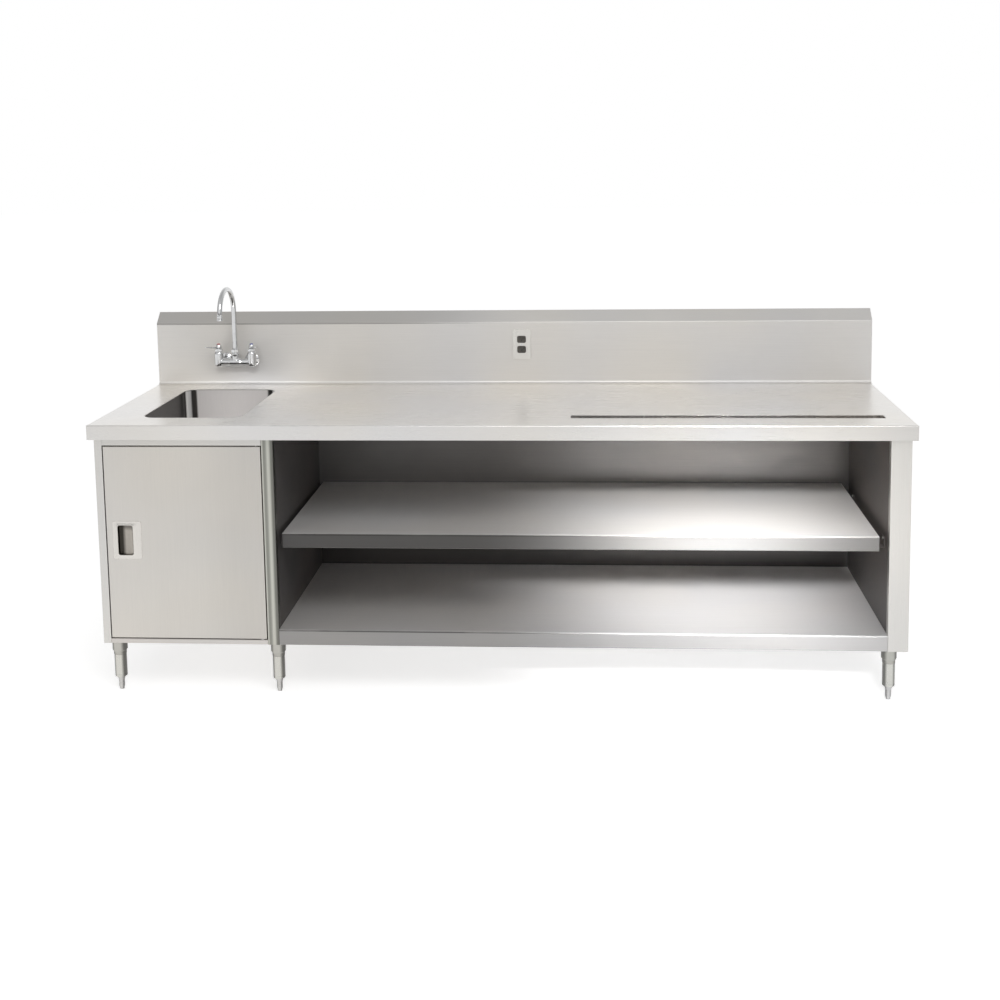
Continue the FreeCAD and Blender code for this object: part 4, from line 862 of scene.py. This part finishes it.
def makeSinkBowl():
    mesh = bmesh.new()
    inner = bowlSkin(mesh, sink["sheet"])
    outer = bowlSkin(mesh, 0)
    for pair in zip(inner, outer):
        joinRings(mesh, pair)
    bmesh.ops.recalc_face_normals(mesh, faces=mesh.faces)
    mouth = middleOf("sink_bowl")
    mouth.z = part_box("sink_bowl")[1].z
    for face in mesh.faces:  # the faces that look at the mouth are the inside
        turn = face.normal.dot(mouth - face.calc_center_median())
        face.material_index = int(turn > sink["leastTurn"])
    finishPiece("sinkBowl", mesh, ("bowlSteel", "sinkBowlSteel"), "counter", ["sink_bowl"])


makeSinkBowl()
print("sink bowl made")

# Door pull

pull = {
    "cupShift": Vector((-0.006, 0, 0)),
    "cupHalf": (0.026, 0.0515),
    "corner": 0.007,
    "leastCorner": 0.002,
    "plateRows": [(0, 0.002), (0, 0.0012), (-0.00036, 0.00068), (-0.0012, 0.0008)],
    "rimRows": [(0.004, 0.0008), (0.0028, 0.00024), (0.0016, 0), (0.0006, 0.00024),
                (0, 0.0018)],
    "floorRows": [(-0.0004, 0.004), (-0.0012, 0.0016), (-0.003, 0.0004), (-0.005, 0)],
    "floorSheet": 0.0015,
    "rampShare": 0.36,
    "rampRise": 0.0075,
    "shell": 0.0012,
    "shellDepth": 0.002,
    "cupDepth": 0.0017,
    "pocketShade": (0.03, 0.027, 0.022),
    "rampTone": (0.42, 0.39, 0.35),
    "grip": (0.012, 0.024),  # where the painted shade of the pocket turns into the tone of the ramp
    "brow": (0.030, 0.042),
    "browShare": 0.6,
    "streak": (0.1, 0.09, 0.08),
    "streakShare": 0.25,
}
pullMiddle = middleOf("door_pull")
cupMiddle = pullMiddle + pull["cupShift"]


# painted shade inside the cup: near black in the deep left pocket, darker under the brow, and a
# ramp darker than the plate
def pullCupMaterial():
    material = finishes["pullSteel"].copy()
    material.name = "pullCupSteel"
    tree = material.node_tree
    shader = tree.nodes["Principled BSDF"]
    left = cupMiddle.x - pull["cupHalf"][0]
    start, end = pull["grip"]
    grip = spread(tree, axisOf(tree, "Object", "X"), left + start, left + end, 0, 1)
    colour = mixColour(tree, grip, pull["pocketShade"], pull["rampTone"])
    start, end = pull["brow"]
    brow = spread(tree, axisOf(tree, "Object", "Z"), pullMiddle.z + start, pullMiddle.z + end,
                  0, pull["browShare"])
    colour = mixColour(tree, brow, colour, pull["pocketShade"])
    grain = placeGroup(tree, brushGrain, {"Stretch": alongZ})["Streak"]
    colour = mixColour(tree, scaled(tree, grain, pull["streakShare"]), colour, pull["streak"])
    plug(tree, shader.inputs["Base Color"], colour)
    return material


def makeDoorPull():
    low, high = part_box("door_pull")
    plateHalf = ((high.x - low.x) / 2, (high.z - low.z) / 2)
    cupWide = pull["cupHalf"][0]
    rampStart = -cupWide + 2 * cupWide * pull["rampShare"]
    mesh = bmesh.new()

    def ring(middle, half, grow, depth):
        corner = max(pull["corner"] + grow, pull["leastCorner"])
        outline = softRectangle(half[0] + grow, half[1] + grow, corner)
        return ringAt(mesh, outline, lambda across, rise: (
            middle.x + across, depth(across), middle.z + rise))

    def cupRing(grow, depth):
        return ring(cupMiddle, pull["cupHalf"], grow, depth)

    def level(depth):
        return lambda across: low.y + depth

    def ramp(offset):  # the floor of the cup rises towards the right
        def depth(across):
            share = min(max((across - rampStart) / (cupWide - rampStart), 0), 1)
            return high.y - pull["floorSheet"] - offset - pull["rampRise"] * share
        return depth

    rings = [ring(pullMiddle, plateHalf, grow, level(depth)) for grow, depth in pull["plateRows"]]
    rings += [cupRing(grow, level(depth)) for grow, depth in pull["rimRows"]]
    rings += [cupRing(grow, ramp(offset)) for grow, offset in pull["floorRows"]]
    bottom = mesh.verts.new((cupMiddle.x, ramp(0)(0), cupMiddle.z))
    joinRings(mesh, rings + [[bottom]])
    shell = [cupRing(pull["shell"], level(pull["shellDepth"])),
             cupRing(pull["shell"], lambda across: high.y)]
    backing = mesh.verts.new((cupMiddle.x, high.y, cupMiddle.z))
    joinRings(mesh, [rings[0], *shell, [backing]])
    for part in mesh.faces:
        part.material_index = int(all(vert.co.y > low.y + pull["cupDepth"]
                                      for vert in part.verts))
    finishes["pullCupSteel"] = pullCupMaterial()
    finishPiece("doorPull", mesh, ("pullSteel", "pullCupSteel"), "door", ["door_pull"])


makeDoorPull()
print("door pull made")

# Feet, leg tubes and their sockets. A row of a profile holds a radius and a height.

foot = {
    "profile": [(0, 0), (0.0067, 0), (0.0075, 0.0008), (0.0075, 0.003), (0.0094, 0.0105),
                (0.0098, 0.0115), (0.0098, 0.022), (0.0092, 0.0226), (0.0092, 0.0236),
                (0.0098, 0.0242), (0.0098, 0.0345), (0.0106, 0.0352), (0.0122, 0.0418),
                (0.0128, 0.0426), (0.0128, 0.0482), (0.012, 0.049), (0.006, 0.049)],
    "tip": [(0.005, -0.0008), (0.0042, 0), (0, 0)],
    "thread": (0.006, 0.0009, 0.00175),  # radius, depth and pitch
    "threadStart": 0.0495,
    "plainEnd": 0.001,
}
tube = {
    "outer": 0.02065,
    "inner": 0.01905,
    "profile": [(0.02065, 0.01), (0.02035, 0.0092), (0.02065, 0.0084), (0.02065, 0.0012),
                (0.02029, 0.00036), (0.01945, 0), (0.0072, 0), (0.0062, 0.001),
                (0.0062, 0.012), (0.01905, 0.012)],
}
socket = {
    "collar": [(0.0254, 0), (0.0254, -0.039), (0.025, -0.04), (0.0222, -0.0445),
               (0.0216, -0.0455)],
    "sleeve": [(0.0216, 0.0006), (0.0211, 0), (0.02095, 0)],
    "bore": 0.02095,
    "plateHalf": 0.048,
    "plateThick": 0.003,
    "plateCorner": 0.008,
    "plateEdge": 0.0006,
}


def makeFoot(node):
    low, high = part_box(node)
    middle = middleOf(node)
    top = high.z - low.z
    threaded = thread(foot["thread"], foot["threadStart"], top - foot["plainEnd"])
    mesh = bmesh.new()
    turned(mesh, foot["profile"] + threaded + raised(foot["tip"], top),
           (middle.x, middle.y, low.z), sides=40)
    finishPiece(node.replace("_foot", "Foot"), mesh, "turnedSteel", node + "_body", [node],
                40)


def addTube(mesh, middle):
    low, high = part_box("leg_tubes")
    length = high.z - low.z
    turned(mesh, [(tube["outer"], length), *tube["profile"], (tube["inner"], length)],
           (middle.x, middle.y, low.z), closed=True)


def addSocket(mesh, middle):
    low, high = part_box("leg_sockets")
    shade = high.z - socket["plateThick"]
    turned(mesh, socket["collar"] + raised(socket["sleeve"], low.z - shade)
           + [(socket["bore"], 0)], (middle.x, middle.y, shade), closed=True)
    half, edge = socket["plateHalf"], socket["plateEdge"]
    left = max(middle.x - half, low.x)
    right = min(middle.x + half, high.x)
    wide = (right - left) / 2
    rows = ((edge, shade), (0, shade + edge), (0, high.z - edge), (edge, high.z))
    levels = [(softRectangle(wide - inset, half - inset, socket["plateCorner"], 4), height)
              for inset, height in rows]
    closeEnds(mesh, stack(mesh, levels, ((left + right) / 2, middle.y, 0)))


def makeLegs():
    tubes, sockets = bmesh.new(), bmesh.new()
    for node in footNodes:
        addTube(tubes, middleOf(node))
        addSocket(sockets, middleOf(node))
    finishPiece("legTubes", tubes, "legSteel", "counter", ["leg_tubes"], 40)
    finishPiece("legSockets", sockets, "socketSteel", "counter", ["leg_sockets"],
                40)


footNodes = [f"{row}_{side}_foot" for row in ("front", "rear")
             for side in ("left", "middle", "right")]
for footNode in footNodes:
    makeFoot(footNode)
makeLegs()
print("legs and feet made")

# Faucet. A row of a profile holds a radius and a distance from one end of the piece.

casting = {
    "valveInset": 0.018,
    "bar": [(0, 0), (0.015, 0), (0.015, 0.02), (0.0129, 0.036)],
    "barMiddle": [(0.0129, -0.026), (0.015, -0.017)],  # from the middle of the body
    "valveFoot": [(0, 0.0002), (0.00946, 0.0002), (0.01548, 0.004), (0.0172, 0.01)],
    "valveHead": [(0.0172, -0.0065), (0.01548, -0.0045), (0.01548, -0.0005), (0, -0.0005)],
    "postFoot": [(0, 0), (0.0125, 0)],
    "postHead": [(0.0125, -0.012), (0.0145, -0.007), (0.0145, -0.0005), (0, -0.0005)],
    "elbowFront": [(0, 0), (0.012825, 0), (0.01242, 0.018), (0.0135, 0.03)],
    "elbowBack": [(0.0135, -0.0005), (0, -0.0005)],
    "voxel": 0.0012,
    "smoothShare": 0.5,
    "smoothRounds": 10,
}
shank = {
    "front": [(0.007, -0.002), (0.0102, -0.002)],
    "back": [(0.0094, -0.0004), (0.009, 0), (0.007, 0)],
    "thread": (0.0102, 0.0008, 0.0018),
    "threadStart": 0.0015,
    "plainEnd": 0.001,
}
flange = {
    "radius": 0.028,
    "profile": [(0.028, 0), (0.028, -0.0012), (0.0272, -0.0019), (0.024, -0.0034),
                (0.0195, -0.0052), (0.0165, -0.0066), (0.0152, -0.007), (0.0142, -0.0068),
                (0.0142, 0)],
}
lockNut = {"corner": 0.018, "bore": 0.0107}
bonnet = {
    "corner": 0.015,
    "bore": 0.0045,
    "collar": 0.0035,
    "top": [(0.0045, -0.0037), (0.0118, -0.0037), (0.0118, -0.0012), (0.0108, 0), (0.0045, 0)],
}
swivelNut = {
    "corner": 0.015,
    "bore": 0.0096,
    "collar": 0.004,
    "top": [(0.0096, -0.0042), (0.0124, -0.0042), (0.0122, -0.002), (0.0112, -0.0003),
            (0.0105, 0), (0.0096, 0)],
}
bodyLow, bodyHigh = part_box("faucet_body")
flangeLow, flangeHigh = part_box("faucet_flanges")
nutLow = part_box("spout_nut")[0]
axisX = middleOf("faucet_body").x
axisY = middleOf("spout_nut").y
axisZ = middleOf("faucet_flanges").z
inlets = (flangeLow.x + flange["radius"], flangeHigh.x - flange["radius"])
valves = (bodyLow.x + casting["valveInset"], bodyHigh.x - casting["valveInset"])


def chromeOn(name, mesh, node, crease, body="counter"):
    return finishPiece(name, mesh, "chromePlate", body, [node], crease)


def brassOn(name, mesh, node, crease):
    return finishPiece(name, mesh, "plainBrass", "counter", [node], crease)


def makeCasting():
    mesh = bmesh.new()
    half = raised(casting["bar"], valves[0] - axisX) + casting["barMiddle"]
    mirrored = [(radius, -height) for radius, height in reversed(half)]
    turned(mesh, half + mirrored, (axisX, axisY, axisZ), "X")
    for place in valves:
        turned(mesh, raised(casting["valveFoot"], bodyLow.z)
               + raised(casting["valveHead"], bodyHigh.z), (place, axisY, 0))
    turned(mesh, raised(casting["postFoot"], axisZ) + raised(casting["postHead"], nutLow.z),
           (axisX, axisY, 0))
    for place in inlets:
        turned(mesh, raised(casting["elbowFront"], axisY)
               + raised(casting["elbowBack"], flangeHigh.y), (place, 0, axisZ), "Y")
    body = chromeOn("faucetCasting", mesh, "faucet_body", 32)
    skin = body.modifiers.new("castSkin", "REMESH")
    skin.mode = "VOXEL"
    skin.voxel_size = casting["voxel"]
    skin.use_smooth_shade = True
    flow = body.modifiers.new("castFlow", "SMOOTH")
    flow.factor = casting["smoothShare"]
    flow.iterations = casting["smoothRounds"]


def makeShanks():
    threaded = thread(shank["thread"], flangeHigh.y + shank["threadStart"],
                      bodyHigh.y - shank["plainEnd"])
    profile = raised(shank["front"], flangeHigh.y) + threaded + raised(shank["back"], bodyHigh.y)
    mesh = bmesh.new()
    for place in inlets:
        turned(mesh, profile, (place, 0, axisZ), "Y", closed=True)
    brassOn("supplyShanks", mesh, "faucet_body", 32)


def makeFlanges():
    mesh = bmesh.new()
    for place in inlets:
        turned(mesh, flange["profile"], (place, flangeHigh.y, axisZ), "Y", sides=64, closed=True)
    chromeOn("wallFlanges", mesh, "faucet_flanges", 50)


def makeLockNuts():
    low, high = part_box("faucet_lock_nuts")
    mesh = bmesh.new()
    for place in inlets:
        hexNut(mesh, (place, 0, axisZ), lockNut["corner"], low.y, high.y, lockNut["bore"], "Y")
    brassOn("lockNuts", mesh, "faucet_lock_nuts", 25)


def makeCollaredNuts(name, node, places, values):
    low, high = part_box(node)
    mesh = bmesh.new()
    for place in places:
        centre = (place, axisY, 0)
        hexNut(mesh, centre, values["corner"], low.z, high.z - values["collar"], values["bore"])
        turned(mesh, raised(values["top"], high.z), centre, closed=True)
    chromeOn(name, mesh, node, 25)


makeCasting()
makeShanks()
makeFlanges()
makeLockNuts()
makeCollaredNuts("valveBonnets", "faucet_bonnets", valves, bonnet)
makeCollaredNuts("spoutNut", "spout_nut", [axisX], swivelNut)

# Levers and their buttons

lever = {
    "stem": [(0, 0), (0.004, 0)],
    "hubRise": 0.0093,
    "hub": [(0.004, 0), (0.010974, 0), (0.0118, 0.0012), (0.0118, 0.0062), (0.0097, 0.0095)],
    "neck": [(0.0089, -0.0014), (0.0079, 0), (0, 0)],
    "sections": [(0.004, 0.006, 0.0052, 0.0042), (0.014, 0.0054, 0.004, 0.005),
                 (0.024, 0.005, 0.0032, 0.0062), (0.038, 0.0056, 0.0027, 0.0082),
                 (0.052, 0.0068, 0.0024, 0.0104), (0.06, 0.0073, 0.0022, 0.0116),
                 (0.0635, 0.0066, 0.0019, 0.0121), (0.0652, 0.0046, 0.0013, 0.0123)],
    "roundThick": 0.92,
    "roundWide": 0.9,
    "buttonFoot": [(0, 0), (0.0066, 0)],
    "buttonCrown": [(0.0066, -0.0012), (0.006138, -0.0005), (0.00396, -0.0001), (0, 0)],
}
levers = {
    "left": {"turn": -120, "body": "hot_lever", "button": "hotButton"},
    "right": {"turn": -60, "body": "cold_lever", "button": "coldButton"},
}


def makeLever(side, values):
    node, capNode = "faucet_lever_" + side, "faucet_lever_cap_" + side
    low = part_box(node)[0]
    capLow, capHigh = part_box(capNode)
    axis = middleOf(capNode)
    axis.z = 0
    base = low.z + lever["hubRise"]
    mesh = bmesh.new()
    turned(mesh, raised(lever["stem"], low.z) + raised(lever["hub"], base)
           + raised(lever["neck"], capLow.z), axis)
    turn = math.radians(values["turn"])
    heading = Vector((math.cos(turn), math.sin(turn), 0))
    sideways = Vector((-heading.y, heading.x, 0))
    rings = []
    for reach, halfWide, halfThick, rise in lever["sections"]:
        corner = min(halfThick * lever["roundThick"], halfWide * lever["roundWide"])
        rings.append([mesh.verts.new(axis + heading * reach + sideways * across
                                     + Vector((0, 0, base + rise + deep)))
                      for across, deep in softRectangle(halfWide, halfThick, corner, 6)])
    joinRings(mesh, rings)
    closeEnds(mesh, rings)
    chromeOn(side + "Lever", mesh, node, 55, values["body"])
    button = bmesh.new()
    turned(button, raised(lever["buttonFoot"], capLow.z)
           + raised(lever["buttonCrown"], capHigh.z), axis, sides=40)
    finishPiece(side + "Button", button, values["button"], values["body"], [capNode])


for leverSide, leverValues in levers.items():
    makeLever(leverSide, leverValues)

# Spout and aerator

spout = {
    "radius": 0.0095,
    "bend": 0.089,
    "bendSteps": 48,
    "beadHeight": 1.104,
    "bead": [(0.0095, 0), (0.0104, 0.0006), (0.0104, 0.0018), (0.0095, 0.0024)],
    "outletRise": 0.0005,
}
aerator = {
    "lip": [(0.0072, 0.0022), (0.0084, 0.0006), (0.01, 0), (0.0107, 0.0005)],
    "rib": [(0.011, 0.0015), (0.011, 0.0024), (0.01065, 0.0026), (0.01065, 0.0029)],
    "ribs": 6,
    "ribStep": 0.0016,
    "shoulder": [(0.011, 0.0115)],
    "top": [(0.011, -0.0012), (0.0102, 0), (0.0096, 0)],
    "inside": [(0.0096, 0.0095), (0.0072, 0.0095)],
    "screen": [(0.0011, 0.003), (0.0017, 0.003), (0.0017, 0.0036), (0.0011, 0.0036)],
    "screens": 5,
    "screenStep": 0.0014,
}


def makeGooseneck():
    low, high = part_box("gooseneck_spout")
    radius, bend = spout["radius"], spout["bend"]
    across, deep = middleOf("gooseneck_spout").x, high.y - radius
    crown = high.z - radius - bend
    rows = [(radius, low.z), *raised(spout["bead"], spout["beadHeight"]),
            (radius, (crown + spout["beadHeight"]) / 2), (radius, crown)]
    path = [(Vector((across, deep, height)), thick) for thick, height in rows]
    for step in range(1, spout["bendSteps"] + 1):
        angle = math.pi * step / spout["bendSteps"]
        path.append((Vector((across, deep - bend + bend * math.cos(angle),
                             crown + bend * math.sin(angle))), radius))
    outlet = middleOf("spout_aerator").z + spout["outletRise"]
    path.append((Vector((across, deep - 2 * bend, outlet)), radius))
    mesh = bmesh.new()
    sweptTube(mesh, path, 40)
    chromeOn("gooseneck", mesh, "gooseneck_spout", 50, "spout")


def makeAerator():
    low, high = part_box("spout_aerator")
    mouth = middleOf("spout_aerator")
    place = (mouth.x, mouth.y, 0)
    profile = raised(aerator["lip"], low.z)
    for rib in range(aerator["ribs"]):
        profile += raised(aerator["rib"], low.z + rib * aerator["ribStep"])
    profile += raised(aerator["shoulder"], low.z) + raised(aerator["top"], high.z)
    profile += raised(aerator["inside"], low.z)
    mesh = bmesh.new()
    turned(mesh, profile, place, closed=True)
    for screen in range(aerator["screens"]):
        wider = aerator["screenStep"] * screen
        rows = [(radius + wider, height) for radius, height in aerator["screen"]]
        turned(mesh, raised(rows, low.z), place, sides=32, closed=True)
    chromeOn("aerator", mesh, "spout_aerator", 25, "spout")


makeGooseneck()
makeAerator()
print("faucet made")

# Finishes of the pieces that stay as the frame gives them

nodeFinishes = {
    "deckSteel": ["worktop"],
    "splashEndSteel": ["splash_end_left", "splash_end_right"],
    "doorSteel": ["door_outer_pan", "door_inner_pan", "catch_strike"],
    "endSteel": ["left_side_panel", "right_side_panel"],
    "postSteel": ["divider_panel"],
    "midShelfSteel": ["mid_shelf"],
    "bottomShelfSteel": ["bottom_shelf"],
    "cabinetSteel": ["cabinet_floor"],
    "backSteel": ["back_panel"],
    "railSteel": ["door_top_rail"],
    "linerShadeSteel": ["divider_liner", "right_side_liner", "worktop_channels",
                   "leg_channels", "shelf_brackets", "receptacle_box"],
    "bowlSteel": ["trough_pan", "trough_strainer_left", "trough_strainer_right",
                  "sink_drain_body", "sink_strainer", "trough_drain"],
    "turnedSteel": ["door_pivot_upper", "door_pivot_lower", "bracket_screws", "leg_set_screws"],
    "plateSteel": ["receptacle_plate"],
    "chromePlate": ["receptacle_plate_screw"],
    "plainBrass": ["sink_drain_nut", "sink_tailpiece", "door_pivot_bushes"],
    "softRubber": ["door_bumpers", "sink_drain_gasket"],
    "outletPlastic": ["receptacle_outlet"],
    "blackPlastic": ["catch_magnet"],
}
for finishName, members in nodeFinishes.items():
    for member in members:
        mesh = nodes[member].data
        mesh.materials.clear()
        mesh.materials.append(finishes[finishName])
        mesh.polygons.foreach_set("material_index", [0] * len(mesh.polygons))
print("carried-over pieces dressed")
